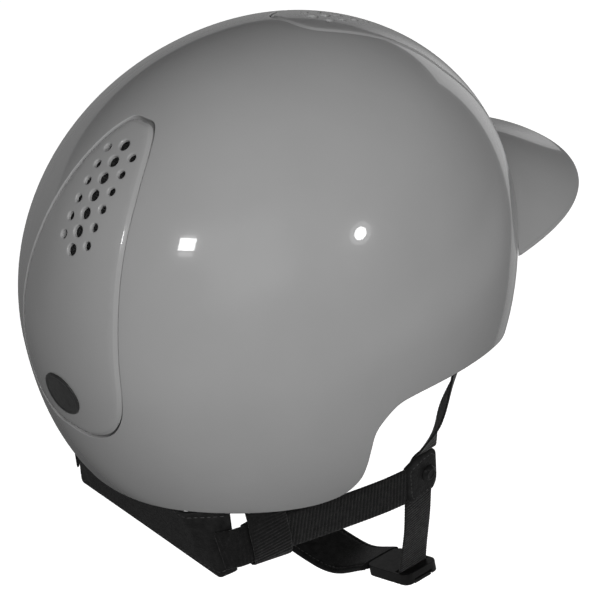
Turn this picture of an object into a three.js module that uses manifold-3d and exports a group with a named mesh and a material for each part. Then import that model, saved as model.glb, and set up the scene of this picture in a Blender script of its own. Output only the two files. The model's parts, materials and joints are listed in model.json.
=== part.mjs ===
// Equestrian riding helmet: moulded shell with two perforated vent panels, a separate peak, a foam liner
// with comfort pads, and a webbing harness with a folded nape pad, side junctions and a ratchet buckle.
// Millimetres. +X is the wearer's left, -Y the front, +Z up. The origin is the centre of the shell at its
// widest level, which is also the centre of the wearer's head.

import * as THREE from 'three';
import { mergeVertices } from 'three/addons/utils/BufferGeometryUtils.js';
import Module from 'manifold-3d';

const wasm = await Module();
wasm.setup();

// ---- driving dimensions ------------------------------------------------------------------------------

// Shell: a superellipsoid, rounder above the widest level than below it.
const HALF_WIDTH = 106;
const HALF_LENGTH = 132.5;
const CROWN_HEIGHT = 120.4;
const LOWER_HEIGHT = 133.2;
const UPPER_POWER = 2.064;
const LOWER_POWER = 2.249;
const SHELL_WALL = 3;
const MESH_INSET = 2.5;

// Rim in side view, from forehead to nape: [y, z].
const RIM = [[-128, -46], [-110, -49], [-90, -50.5], [-72, -48], [-49, -38.5], [-31, -32.5], [-15, -28.3],
  [0, -25], [15, -22.5], [26, -22.3], [34, -27], [38.5, -33], [40.2, -43], [41, -52], [43, -62], [49.6, -69],
  [61, -70.2], [74, -68], [86, -65.3], [97, -63], [108, -61.5], [122, -62]];

const LINER_OUTER_INSET = 4.6;
const LINER_INNER_INSET = 24;
const PAD_OUTER_INSET = 25.6;
const PAD_INNER_INSET = 31;
const RIM_SETBACK = 2;
const GAP = 0.3;

// Rear vent panel: [half width, z] from its top to its bottom.
const REAR_PANEL = [[0, 106.5], [8.6, 105], [16.9, 96], [24.3, 78.9], [31.4, 49.8], [34.6, 24.2], [34.9, 9.1],
  [32.3, -2.6], [25.2, -12.5], [13.2, -17.9], [0, -18.5]];
// Front vent panel: [half width, angle up from the forehead in degrees] from its top to its bottom.
const FRONT_PANEL = [[0, 79.8], [12.9, 79], [21.3, 74.1], [31.1, 63.9], [39, 56.4], [47, 50.1], [52, 40.5],
  [55, 30], [53, 18], [42, 11.5], [22, 9.2], [0, 9]];
const PANEL_THICKNESS = 1.6;
const PANEL_CLEARANCE = 1.018;
const RECESS_DEPTH = 2.1;
const PANEL_ROWS = 18;
const VENT_PITCH = 8.36;
const VENT_SIDE_SPACING = 8.15;
const LARGE_VENT_RADIUS = 2.55;
const SMALL_VENT_RADIUS = 1.8;
const LARGE_VENT_COUNT = 7;
const REAR_VENT_START = 70.1;
const FRONT_VENT_START = 240.5;
const SLOT_MARGIN = 5;

// Peak: plan outline and heights.
const PEAK_HALF_WIDTH = 78.1;
const PEAK_ROOT_Y = -91.3;
const PEAK_TIP_Y = -190.8;
const PEAK_PLAN_POWER = 2.6;
const PEAK_EDGE_HEIGHT = -13.05;
const PEAK_EDGE_RISE = 7;
const PEAK_ROOT_RISE = 27;
const PEAK_EDGE_THICKNESS = 2.2;
const PEAK_ROOT_THICKNESS = 8.5;

// Harness.
const WEBBING_WIDTH = 20;
const WEBBING_THICKNESS = 1.6;
const REAR_STRAP_WIDTH = 22;
const JUNCTION = new THREE.Vector3(-82, -10, -98);
const JUNCTION_THICKNESS = 3.6;
const SNAP_RADIUS = 4.3;
const LOOP_Y = -8.5;
const CHIN_STRAP_X = -78.2;
const BUCKLE_TIP = new THREE.Vector3(-77.5, LOOP_Y, -171.5);
const BUCKLE_TILT = 0.33;
const BUCKLE_ROLL = 0.175;
const BUCKLE_LENGTH = 32;
const BUCKLE_WIDTH = 24;
const BUCKLE_THICKNESS = 6;
const BUCKLE_SLOT = 8.1;
const TONGUE_WIDTH = 15;
const TONGUE_THICKNESS = 1.5;
const TONGUE_INSERTION = 13;
const TONGUE_LENGTH = 14;
const CHIN_PAD_WIDTH = 32;
const CHIN_PAD_END_WIDTH = 28;
const CHIN_PAD_THICKNESS = 4;

const COLOURS = {
  lacquer: 0x8a8a8a, mesh: 0x151515, badge: 0x2c2c2c, foam: 0x2a2a2c, lining: 0x17171a, webbing: 0x1b1b1d,
  leather: 0x161617, plastic: 0x101012, steel: 0x9a9a9c,
};
const FINISHES = {
  lacquer: [0.12, 0], mesh: [0.6, 0.4], badge: [0.4, 0], foam: [0.9, 0], lining: [0.95, 0],
  webbing: [0.85, 0], leather: [0.6, 0], plastic: [0.4, 0], steel: [0.35, 0.9],
};

// ---- the dome's surface ------------------------------------------------------------------------------

const vec = (x, y, z) => new THREE.Vector3(x, y, z);
const radians = THREE.MathUtils.degToRad;

// Share of the plan size that the dome has at a height: 1 at the widest level, 0 at the crown.
function planShare(z, inset) {
  const extent = (z >= 0 ? CROWN_HEIGHT : LOWER_HEIGHT) - inset;
  const power = z >= 0 ? UPPER_POWER : LOWER_POWER;
  return Math.max(0, 1 - (Math.abs(z) / extent) ** power) ** (1 / power);
}

// Point at a bearing (0 is the wearer's left, 90 degrees the back) and a height, inset from the surface.
function domePoint(bearing, z, inset) {
  const c = Math.cos(bearing);
  const s = Math.sin(bearing);
  const across = Math.abs(c / (HALF_WIDTH - inset)) ** UPPER_POWER;
  const along = Math.abs(s / (HALF_LENGTH - inset)) ** UPPER_POWER;
  const radius = (across + along) ** (-1 / UPPER_POWER) * planShare(z, inset);
  return vec(radius * c, radius * s, z);
}

// How far the dome reaches from front to back (half), at a sideways distance and a height.
function halfDepth(x, z, inset) {
  const left = planShare(z, inset) ** UPPER_POWER - (Math.abs(x) / (HALF_WIDTH - inset)) ** UPPER_POWER;
  return (HALF_LENGTH - inset) * Math.max(0, left) ** (1 / UPPER_POWER);
}

// Point of the upper dome at a sideways distance and an angle up from the forehead, over the crown.
function overPoint(x, angle, inset) {
  const share = (1 - (Math.abs(x) / (HALF_WIDTH - inset)) ** UPPER_POWER) ** (1 / UPPER_POWER);
  const bend = 2 / UPPER_POWER;
  const forward = Math.sign(Math.cos(angle)) * Math.abs(Math.cos(angle)) ** bend;
  const up = Math.sin(angle) ** bend;
  return vec(x, -(HALF_LENGTH - inset) * share * forward, (CROWN_HEIGHT - inset) * share * up);
}

function domeNormal(point) {
  const bearing = Math.atan2(point.y, point.x);
  const step = 0.01;
  const around = domePoint(bearing + step, point.z, 0).sub(domePoint(bearing - step, point.z, 0));
  const up = domePoint(bearing, point.z + step, 0).sub(domePoint(bearing, point.z - step, 0));
  return around.cross(up).normalize();
}

// ---- solids ------------------------------------------------------------------------------------------

function toSolid(geometry) {
  const bare = geometry.clone();
  bare.deleteAttribute('normal');
  bare.deleteAttribute('uv');
  const merged = mergeVertices(bare, 1e-4);
  const mesh = new wasm.Mesh({
    numProp: 3,
    vertProperties: new Float32Array(merged.attributes.position.array),
    triVerts: new Uint32Array(merged.index.array),
  });
  return new wasm.Manifold(mesh);
}

function toGeometry(solid) {
  const mesh = solid.getMesh();
  const geometry = new THREE.BufferGeometry();
  geometry.setAttribute('position', new THREE.BufferAttribute(new Float32Array(mesh.vertProperties), 3));
  geometry.setIndex(new THREE.BufferAttribute(new Uint32Array(mesh.triVerts), 1));
  return geometry;
}

const cut = (geometry, tools) =>
  toGeometry(tools.reduce((solid, tool) => solid.subtract(toSolid(tool)), toSolid(geometry)).simplify(0.005));

const join = (geometry, extras) =>
  toGeometry(extras.reduce((solid, extra) => solid.add(toSolid(extra)), toSolid(geometry)));

function volume(corners) {
  let total = 0;
  for (let i = 0; i < corners.length; i += 3) {
    total += corners[i].dot(corners[i + 1].clone().cross(corners[i + 2]));
  }
  return total / 6;
}

// Geometry from a list of triangle corners, faces turned outwards.
function fromCorners(corners) {
  const turned = volume(corners) < 0 ? corners.toReversed() : corners;
  return mergeVertices(new THREE.BufferGeometry().setFromPoints(turned), 1e-4);
}

// Closed solid between two grids of points, front(i, j) and back(i, j). Equal points close the grid to a tip.
function sheetSolid(front, back, columns, rows, ring = false) {
  const corners = [];
  const triangle = (a, b, c) => {
    const area = b.clone().sub(a).cross(c.clone().sub(a)).length();
    if (area > 1e-6) corners.push(a, b, c);
  };
  const quad = (a, b, c, d) => {
    triangle(a, b, c);
    triangle(a, c, d);
  };
  for (let i = 0; i < columns; i += 1) {
    for (let j = 0; j < rows; j += 1) {
      quad(front(i, j), front(i + 1, j), front(i + 1, j + 1), front(i, j + 1));
      quad(back(i, j), back(i, j + 1), back(i + 1, j + 1), back(i + 1, j));
    }
    quad(back(i, 0), back(i + 1, 0), front(i + 1, 0), front(i, 0));
    quad(front(i, rows), front(i + 1, rows), back(i + 1, rows), back(i, rows));
  }
  for (let j = 0; j < rows && !ring; j += 1) {
    quad(front(0, j), front(0, j + 1), back(0, j + 1), back(0, j));
    quad(back(columns, j), back(columns, j + 1), front(columns, j + 1), front(columns, j));
  }
  return fromCorners(corners);
}

// The same solid on the wearer's other side.
function mirrored(geometry) {
  const position = (geometry.index ? geometry.toNonIndexed() : geometry).attributes.position;
  const corners = [];
  for (let i = 0; i < position.count; i += 1) {
    corners.push(vec(-position.getX(i), position.getY(i), position.getZ(i)));
  }
  return fromCorners(corners);
}

// Moves a geometry made along +Z so that +Z points along a direction and its origin lies on a point.
function aim(geometry, point, direction) {
  const turn = new THREE.Quaternion().setFromUnitVectors(vec(0, 0, 1), direction.clone().normalize());
  return geometry.applyQuaternion(turn).translate(point.x, point.y, point.z);
}

// Moves a flat geometry so that its +X, +Y and origin lie on two directions and a point.
function place(geometry, point, right, up) {
  const basis = new THREE.Matrix4().makeBasis(right, up, right.clone().cross(up));
  return geometry.applyMatrix4(basis).translate(point.x, point.y, point.z);
}

// Box with its thickness along a level outward direction, its width level and its height up.
function uprightBox(point, outward, thickness, width, height) {
  const box = new THREE.BoxGeometry(thickness, width, height);
  return box.rotateZ(Math.atan2(outward.y, outward.x)).translate(point.x, point.y, point.z);
}

const drill = (point, direction, radius, length, sides) =>
  aim(new THREE.CylinderGeometry(radius, radius, length, sides).rotateX(Math.PI / 2), point, direction);

// Flat band along a route of stations [centre, width direction].
function ribbon(stations, width, thickness, steps) {
  const centres = new THREE.CatmullRomCurve3(stations.map(([centre]) => vec(...centre)));
  const widths = new THREE.CatmullRomCurve3(stations.map(([, across]) => vec(...across).normalize()));
  const point = (i, j, side) => {
    const t = j / steps;
    const across = widths.getPoint(t).normalize();
    const normal = centres.getTangent(t).cross(across).normalize();
    return centres.getPoint(t).addScaledVector(across, (i - 0.5) * width).addScaledVector(normal, side);
  };
  return sheetSolid((i, j) => point(i, j, thickness / 2), (i, j) => point(i, j, -thickness / 2), 1, steps);
}

// Rounded rectangle, extruded upwards from z = 0.
function roundedPlate(width, height, corner, thickness) {
  const shape = new THREE.Shape();
  const x = width / 2;
  const y = height / 2;
  shape.moveTo(corner - x, -y).lineTo(x - corner, -y).quadraticCurveTo(x, -y, x, corner - y);
  shape.lineTo(x, y - corner).quadraticCurveTo(x, y, x - corner, y);
  shape.lineTo(corner - x, y).quadraticCurveTo(-x, y, -x, y - corner);
  shape.lineTo(-x, corner - y).quadraticCurveTo(-x, -y, corner - x, -y);
  return new THREE.ExtrudeGeometry(shape, { depth: thickness, bevelEnabled: false, curveSegments: 4 });
}

// ---- shell, panels, meshes and badge -----------------------------------------------------------------

const rimOutline = new THREE.SplineCurve(RIM.map(([y, z]) => new THREE.Vector2(y, z)));

// The rim on the wearer's left, from forehead to nape, as a curve on the dome.
const rimCurve = new THREE.CatmullRomCurve3(rimOutline.getPoints(160).map(({ x: y, y: z }) => {
  const sine = Math.min(1, Math.abs(y) / (HALF_LENGTH * planShare(z, 0)));
  const cosine = (1 - sine ** UPPER_POWER) ** (1 / UPPER_POWER);
  return domePoint(Math.atan2(Math.sign(y) * sine * HALF_LENGTH, cosine * HALF_WIDTH), z, 0);
}));

// Bearing and rim height of one column of the dome, at a share of the way from forehead to nape.
function rimStation(share) {
  const { x, y, z } = rimCurve.getPointAt(share);
  return { bearing: Math.atan2(y, x), z };
}

// Columns round the whole dome, down the wearer's left side and back up the right.
function rimStations(perSide) {
  const left = Array.from({ length: perSide }, (_, i) => rimStation(i / perSide));
  const right = Array.from({ length: perSide }, (_, i) => rimStation(1 - i / perSide));
  return [...left, ...right.map(({ bearing, z }) => ({ bearing: Math.PI - bearing, z }))];
}

function domeSolid(outerInset, innerInset, setback, perSide, rows) {
  const stations = rimStations(perSide);
  const surface = (inset) => (i, j) => {
    const { bearing, z } = stations[i % stations.length];
    const lowest = Math.asin((z + setback) / (LOWER_HEIGHT - inset));
    const rise = lowest + (Math.PI / 2 - lowest) * (j / rows);
    const height = ((rise < 0 ? LOWER_HEIGHT : CROWN_HEIGHT) - inset) * Math.sin(rise);
    return j === rows ? vec(0, 0, CROWN_HEIGHT - inset) : domePoint(bearing, height, inset);
  };
  return sheetSolid(surface(outerInset), surface(innerInset), stations.length, rows, true);
}

const rearPoint = (x, z, inset) => vec(x, halfDepth(x, z, inset), z);
const frontPoint = (x, degrees, inset) => overPoint(x, radians(degrees), inset);

// Sheet that follows the dome inside an outline of [half width, level], scaled about its middle.
function panelSheet(outline, pointAt, scale, outerInset, innerInset, columns, rows) {
  const curve = new THREE.SplineCurve(outline.map(([x, level]) => new THREE.Vector2(x, level)));
  const middle = (outline[0][1] + outline.at(-1)[1]) / 2;
  const surface = (inset) => (i, j) => {
    const edge = j === 0 || j === rows ? new THREE.Vector2(0, outline.at(j === 0 ? 0 : -1)[1])
      : curve.getPoint((1 - Math.cos((j / rows) * Math.PI)) / 2);
    const level = middle + (edge.y - middle) * scale;
    return pointAt(Math.max(0, edge.x) * scale * (2 * i / columns - 1), level, inset);
  };
  return sheetSolid(surface(outerInset), surface(innerInset), columns, rows);
}

// Centre line from the back of the widest level over the crown to the forehead, measured by its length.
const centreLine = new THREE.CatmullRomCurve3(
  Array.from({ length: 91 }, (_, i) => overPoint(0, radians(180 - 2 * i), 0)),
);
const centreLineLength = centreLine.getLength();

// Centres of the vent holes from a start along the centre line: large in the middle, small beside them.
function ventHoles(start) {
  const holes = [];
  for (let k = 0; k < LARGE_VENT_COUNT; k += 1) {
    holes.push({ along: start + k * VENT_PITCH, x: 0, radius: LARGE_VENT_RADIUS });
  }
  for (let k = 0; k < LARGE_VENT_COUNT - 1; k += 1) {
    for (const x of [-VENT_SIDE_SPACING, VENT_SIDE_SPACING]) {
      holes.push({ along: start + (k + 0.5) * VENT_PITCH, x, radius: SMALL_VENT_RADIUS });
    }
  }
  return holes;
}

function ventDrills(start) {
  return ventHoles(start).map(({ along, x, radius }) => {
    const middle = centreLine.getPointAt(along / centreLineLength);
    const y = Math.sign(middle.y) * halfDepth(x, middle.z, 0);
    const point = vec(x, y, middle.z);
    return drill(point, domeNormal(point), radius, 12, radius === LARGE_VENT_RADIUS ? 8 : 6);
  });
}

// Slot under a row of vent holes: a rounded outline in the same terms as its panel's.
function slotOutline(start, grow, levelOf) {
  const first = start - grow;
  const last = start + (LARGE_VENT_COUNT - 1) * VENT_PITCH + grow;
  const halfWidth = VENT_SIDE_SPACING + SMALL_VENT_RADIUS + grow - SLOT_MARGIN + 2;
  return Array.from({ length: 9 }, (_, i) => {
    const turn = (i / 8) * Math.PI;
    const along = (first + last) / 2 - ((last - first) / 2) * Math.cos(turn);
    const level = levelOf(centreLine.getPointAt(along / centreLineLength));
    return [halfWidth * Math.sin(turn) ** 0.4, level];
  });
}

const rearLevel = (point) => point.z;
const frontLevel = (point) => {
  const bend = UPPER_POWER / 2;
  const up = (point.z / CROWN_HEIGHT) ** bend;
  const forward = (-point.y / HALF_LENGTH) ** bend;
  return THREE.MathUtils.radToDeg(Math.atan2(up, forward));
};

const rearSlot = (grow) => slotOutline(REAR_VENT_START, grow, rearLevel);
const frontSlot = (grow) => slotOutline(FRONT_VENT_START, grow, frontLevel);

const SCREW_NAMES = ['right', 'centre', 'left'];

function peakScrewSites() {
  return [-46, 0, 46].map((x) => {
    const z = peakRootHeight(x) - PEAK_ROOT_THICKNESS / 2 - 0.2;
    const point = vec(x, -halfDepth(x, z, 0), z);
    return { point, normal: domeNormal(point) };
  });
}

function outerShell() {
  const recesses = [
    panelSheet(REAR_PANEL, rearPoint, PANEL_CLEARANCE, -3, RECESS_DEPTH, 8, PANEL_ROWS),
    panelSheet(FRONT_PANEL, frontPoint, PANEL_CLEARANCE, -3, RECESS_DEPTH, 8, PANEL_ROWS),
  ];
  const slots = [
    panelSheet(rearSlot(SLOT_MARGIN), rearPoint, 1, 0.5, 5, 4, 10),
    panelSheet(frontSlot(SLOT_MARGIN), frontPoint, 1, 0.5, 5, 4, 10),
  ];
  const screwHoles = peakScrewSites().map(({ point, normal }) => drill(point, normal, 2.1, 16, 8));
  return cut(domeSolid(0, SHELL_WALL, 0, 28, 12), [...recesses, ...slots, ...screwHoles]);
}

function ventPanel(outline, pointAt, start) {
  const sheet = panelSheet(outline, pointAt, 1, 0, PANEL_THICKNESS, 8, PANEL_ROWS);
  return cut(sheet, ventDrills(start));
}

// Fine net behind the holes, in the shell's slot.
const ventMesh = (outline, pointAt) =>
  panelSheet(outline, pointAt, 1, MESH_INSET, MESH_INSET + 0.5, 4, 10);

// Plain oval badge on the lower part of the rear panel.
function rearBadge() {
  const sides = 20;
  const rings = 2;
  const surface = (inset) => (i, j) => {
    const angle = (i % sides) * (2 * Math.PI / sides);
    const share = 1 - j / rings;
    return rearPoint(1 + 12 * share * Math.cos(angle), 10 * share * Math.sin(angle), inset);
  };
  return sheetSolid(surface(-GAP - 0.7), surface(-GAP), sides, rings, true);
}

// ---- peak --------------------------------------------------------------------------------------------

const peakRootHeight = (x) =>
  PEAK_EDGE_HEIGHT + PEAK_ROOT_RISE * (1 - (Math.abs(x) / PEAK_HALF_WIDTH) ** 1.9);

function peakEdge(angle) {
  const bend = 2 / PEAK_PLAN_POWER;
  const cosine = Math.cos(angle);
  const x = PEAK_HALF_WIDTH * Math.sign(cosine) * Math.abs(cosine) ** bend;
  const y = PEAK_ROOT_Y + (PEAK_TIP_Y - PEAK_ROOT_Y) * Math.max(0, Math.sin(angle)) ** bend;
  const z = PEAK_EDGE_HEIGHT + PEAK_EDGE_RISE * (1 - (Math.abs(x) / PEAK_HALF_WIDTH) ** 1.53);
  return vec(x, y, z);
}

function peak() {
  const columns = 28;
  const rows = 6;
  const surface = (under) => (i, j) => {
    const out = j / rows;
    const edge = peakEdge((i / columns) * Math.PI);
    const swell = (1 - out) ** 4 * (1 - (Math.abs(edge.x) / PEAK_HALF_WIDTH) ** 6);
    const thickness = PEAK_EDGE_THICKNESS + (PEAK_ROOT_THICKNESS - PEAK_EDGE_THICKNESS) * swell;
    const drop = under ? thickness : 0;
    const rootZ = peakRootHeight(edge.x) - drop;
    const root = vec(edge.x, -halfDepth(edge.x, rootZ, -GAP), rootZ);
    const point = root.lerp(edge.clone().setZ(edge.z - drop), out);
    point.z += 3 * Math.sin(out * Math.PI) * (1 - (edge.x / PEAK_HALF_WIDTH) ** 2);
    return point;
  };
  const solid = sheetSolid(surface(false), surface(true), columns, rows);
  const sockets = peakScrewSites().map(({ point, normal }) => drill(point, normal, 1.9, 12, 8));
  const clearance = domeSolid(-GAP, 40, 0, 28, 12);
  return cut(solid, [clearance, ...sockets]);
}

// Pan-head screw from inside the shell into the peak, made along +Z with its head's seat at z = 0.
function peakScrew({ point, normal }) {
  const profile = [[0, -2.6], [2.4, -2.4], [3.6, -1.4], [3.6, 0], [1.6, 0], [1.6, 8], [0, 8.6]];
  const screw = new THREE.LatheGeometry(profile.map(([r, z]) => new THREE.Vector2(r, z)), 12);
  const seat = point.clone().addScaledVector(normal, -SHELL_WALL - 1.1);
  return aim(screw.rotateX(Math.PI / 2), seat, normal);
}

// ---- liner and pads ----------------------------------------------------------------------------------

// Notches in the liner's lower outer edge for the strap anchors: [point, outward, thickness, height].
const NOTCHES = [
  { at: vec(-95, -25, -18), outward: vec(-0.95, -0.3, 0), thickness: 10, height: 34 },
  { at: vec(-69, 80.5, -52), outward: vec(-0.81, 0.58, 0), thickness: 16, height: 40 },
  { at: vec(-28, 112, -50), outward: vec(-0.17, 0.98, 0), thickness: 14, height: 32 },
];

function shockLiner() {
  const solid = domeSolid(LINER_OUTER_INSET, LINER_INNER_INSET, RIM_SETBACK, 22, 8);
  const notches = NOTCHES.map(({ at, outward, thickness, height }) =>
    uprightBox(at, outward, thickness, WEBBING_WIDTH + 6, height));
  const headPockets = peakScrewSites().map(({ point, normal }) => drill(point, normal, 5, 16, 8));
  const channels = [REAR_VENT_START, FRONT_VENT_START].map((start) => {
    const along = start + ((LARGE_VENT_COUNT - 1) / 2) * VENT_PITCH;
    const point = centreLine.getPointAt(along / centreLineLength);
    return drill(point, domeNormal(point), 6, 60, 10);
  });
  return cut(solid, [...notches, ...notches.map(mirrored), ...headPockets, ...channels]);
}

// Height of the rim at a bearing, the same on both sides of the dome.
function rimHeightAt(bearing) {
  const folded = Math.asin(Math.sin(bearing));
  const samples = Array.from({ length: 120 }, (_, i) => rimStation(i / 119));
  const nearer = (a, b) => (Math.abs(a.bearing - folded) < Math.abs(b.bearing - folded) ? a : b);
  return samples.reduce(nearer).z;
}

// Comfort pad on the liner between two bearings, from a lift above the rim up to a height.
function comfortPad(fromBearing, toBearing, lift, top, columns) {
  const rows = 3;
  const bearingOf = (i) => radians(fromBearing + ((toBearing - fromBearing) * i) / columns);
  const lows = Array.from({ length: columns + 1 }, (_, i) => rimHeightAt(bearingOf(i)) + lift);
  const surface = (inset) => (i, j) => domePoint(bearingOf(i), lows[i] + ((top - lows[i]) * j) / rows, inset);
  return sheetSolid(surface(PAD_OUTER_INSET), surface(PAD_INNER_INSET), columns, rows);
}

// Cap-shaped pad under the crown.
function crownPad() {
  const sides = 20;
  const rings = 4;
  const surface = (inset) => (i, j) => {
    const share = Math.sin((j / rings) * (Math.PI / 2));
    const low = 66;
    const z = low + (CROWN_HEIGHT - inset - low) * share;
    const bearing = (i % sides) * (2 * Math.PI / sides);
    return j === rings ? vec(0, 0, CROWN_HEIGHT - inset) : domePoint(bearing, z, inset);
  };
  return sheetSolid(surface(PAD_OUTER_INSET), surface(PAD_INNER_INSET), sides, rings, true);
}

// ---- harness -----------------------------------------------------------------------------------------

function frontStrap() {
  const stations = [
    [[-95.5, -25.5, -8], [0.3, -1, 0]], [[-95.3, -25, -26], [0.35, -1, 0]],
    [[-92.5, -22.5, -43], [0.5, -1, 0.1]], [[-88, -18, -62], [0.75, -1, 0.2]],
    [[-84.3, -13, -78], [0.25, -1, 0.1]], [[-82.4, -11, -85.2], [0, -1, 0]],
  ];
  return ribbon(stations, 17, WEBBING_THICKNESS, 14);
}

// Runs from the wing of the nape pad, through the rear loop, to the side junction.
function rearStrap() {
  const stations = [
    [[-55.3, 103, -84.5], [-0.25, -0.1, -1]], [[-60.2, 97.6, -83.5], [-0.2, -0.15, -1]],
    [[-66.9, 72, -87.5], [0, -0.25, -1]],
    [[-72.3, 48, -92.3], [0, -0.2, -1]], [[-79.3, 18, -97], [0, -0.1, -1]], [[-82, 4.4, -98.5], [0, 0, -1]],
  ];
  return ribbon(stations, REAR_STRAP_WIDTH, WEBBING_THICKNESS, 22);
}

// Webbing that hangs from its anchor inside the shell, passes under the rear strap and comes back up.
function rearLoop() {
  const atShell = [-0.58, -0.81, 0];
  const atStrap = [-0.22, -0.95, -0.2];
  const stations = [
    [[-70.5, 80.3, -36], atShell], [[-70.5, 80.3, -50], atShell], [[-65.9, 80.5, -63], atShell],
    [[-68, 82.5, -73], atStrap], [[-68.6, 82, -90], atStrap], [[-66.6, 81.6, -97.6], atStrap],
    [[-63.2, 81.4, -97.2], atStrap], [[-61.7, 81.6, -91], atStrap], [[-61.9, 82.4, -73], atStrap],
  ];
  return ribbon(stations, WEBBING_WIDTH, 1.3, 22);
}

const ANCHORS = {
  front: { at: vec(-97.1, -26, -14), outward: vec(-0.95, -0.3, 0) },
  rear: { at: vec(-71.9, 81.3, -43), outward: vec(-0.81, 0.58, 0) },
};

// Plate that clamps a strap's end to the inside of the shell.
function anchorPlate({ at, outward }) {
  const across = vec(-outward.y, outward.x, 0).normalize();
  return place(roundedPlate(21, 11, 3, 1.2), at, across, vec(0, 0, 1));
}

// Corner points of the nape pad's outer face on the wearer's right: its wing's front edge and its fold.
const NAPE_BOTTOM = [vec(-60, 98.4, -98), vec(-54, 104.8, -101.9), vec(0, 104.8, -101.9)];
const NAPE_TOP = [vec(-57, 95, -64), vec(-42, 110.8, -63.2), vec(0, 110.8, -63.2)];
const NAPE_INWARD = [vec(0.75, -0.65, -0.13), vec(0.45, -0.87, -0.15), vec(0, -0.99, -0.15)];
const NAPE_THICKNESS = 3;

function napePad() {
  const flip = (point) => vec(-point.x, point.y, point.z);
  const bottoms = [...NAPE_BOTTOM, ...NAPE_BOTTOM.slice(0, 2).reverse().map(flip)];
  const tops = [...NAPE_TOP, ...NAPE_TOP.slice(0, 2).reverse().map(flip)];
  const inwards = [...NAPE_INWARD, ...NAPE_INWARD.slice(0, 2).reverse().map(flip)];
  const surface = (depth) => (i, j) =>
    bottoms[i].clone().lerp(tops[i], j / 2).addScaledVector(inwards[i].clone().normalize(), depth);
  return sheetSolid(surface(0), surface(NAPE_THICKNESS), bottoms.length - 1, 2);
}

// Webbing tab that the nape pad hangs from, inside the shell.
function napeTab() {
  const across = [-0.98, -0.2, 0];
  const stations = [
    [[-28, 113.4, -40], across], [[-28, 111.6, -54], across], [[-28, 109.2, -62.6], across],
  ];
  return ribbon(stations, WEBBING_WIDTH, WEBBING_THICKNESS, 4);
}

// Sewn patch below the ear that joins front, rear and chin straps, with a hole for the snap.
function sideJunction() {
  const shape = new THREE.Shape();
  shape.moveTo(-4, 12.2).lineTo(3, 12.2).quadraticCurveTo(10, 11.4, 14, 10.2);
  shape.lineTo(14, -9).quadraticCurveTo(13.6, -12.4, 10, -12.8).lineTo(-3.5, -13);
  shape.quadraticCurveTo(-6.8, -11, -7.2, -5).lineTo(-7.4, 8).quadraticCurveTo(-7, 11.6, -4, 12.2);
  const options = { depth: JUNCTION_THICKNESS, bevelEnabled: false, curveSegments: 4 };
  const patch = new THREE.ExtrudeGeometry(shape, options);
  patch.rotateX(Math.PI / 2).rotateZ(Math.PI / 2);
  patch.translate(JUNCTION.x - JUNCTION_THICKNESS / 2, JUNCTION.y, JUNCTION.z);
  return cut(patch, [drill(JUNCTION, vec(1, 0, 0), 2.4, 12, 12)]);
}

// Snap rivet through patch and chin strap: domed cap outside, flat washer inside. Made along +Z, cap down.
function junctionSnap() {
  const outside = -JUNCTION_THICKNESS / 2 - GAP;
  const inside = CHIN_STRAP_X + WEBBING_THICKNESS / 2 + GAP - JUNCTION.x;
  const profile = [
    [0, outside - 2.2], [2.6, outside - 2], [SNAP_RADIUS - 0.6, outside - 1], [SNAP_RADIUS, outside],
    [2, outside], [2, inside], [4, inside], [4, inside + 0.9], [0, inside + 1.2],
  ];
  const snap = new THREE.LatheGeometry(profile.map(([r, z]) => new THREE.Vector2(r, z)), 14);
  return aim(snap.rotateX(Math.PI / 2), JUNCTION, vec(1, 0, 0));
}

// Chin strap from a round end on the snap down through a list of centre points, each with a direction across.
function chinStrap(lowerStations) {
  const pivot = vec(CHIN_STRAP_X, JUNCTION.y, JUNCTION.z);
  const stations = [[[CHIN_STRAP_X, JUNCTION.y, JUNCTION.z - 2], STRAIGHT_ACROSS], ...lowerStations];
  const strap = ribbon(stations, WEBBING_WIDTH, WEBBING_THICKNESS, 18);
  const end = drill(pivot, vec(1, 0, 0), WEBBING_WIDTH / 2, WEBBING_THICKNESS, 16);
  const hole = drill(pivot, vec(1, 0, 0), 2.4, 12, 12);
  return cut(join(strap, [end]), [hole]);
}

const STRAIGHT_ACROSS = [0, 1, 0];

const chinStrapRight = () => chinStrap([
  [[CHIN_STRAP_X, LOOP_Y, -110], STRAIGHT_ACROSS], [[-75.6, LOOP_Y, -136], STRAIGHT_ACROSS],
  [[-71.6, LOOP_Y, -160], [0.03, 1, 0.08]],
  [bucklePoint(BUCKLE_SLOT, 1.4).toArray(), BUCKLE_ACROSS.toArray()],
]);

const STRAP_SLOPE = 0.1167;
const chinStrapLeft = () => mirrored(chinStrap([
  ...[-108, -120, -132, -144, -156].map((z) => [CHIN_STRAP_X - STRAP_SLOPE * (z + 106), LOOP_Y, z]),
  [-67.5, LOOP_Y, -171], [-55.4, LOOP_Y, -183.2],
].map((at) => [at, STRAIGHT_ACROSS])));

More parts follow.
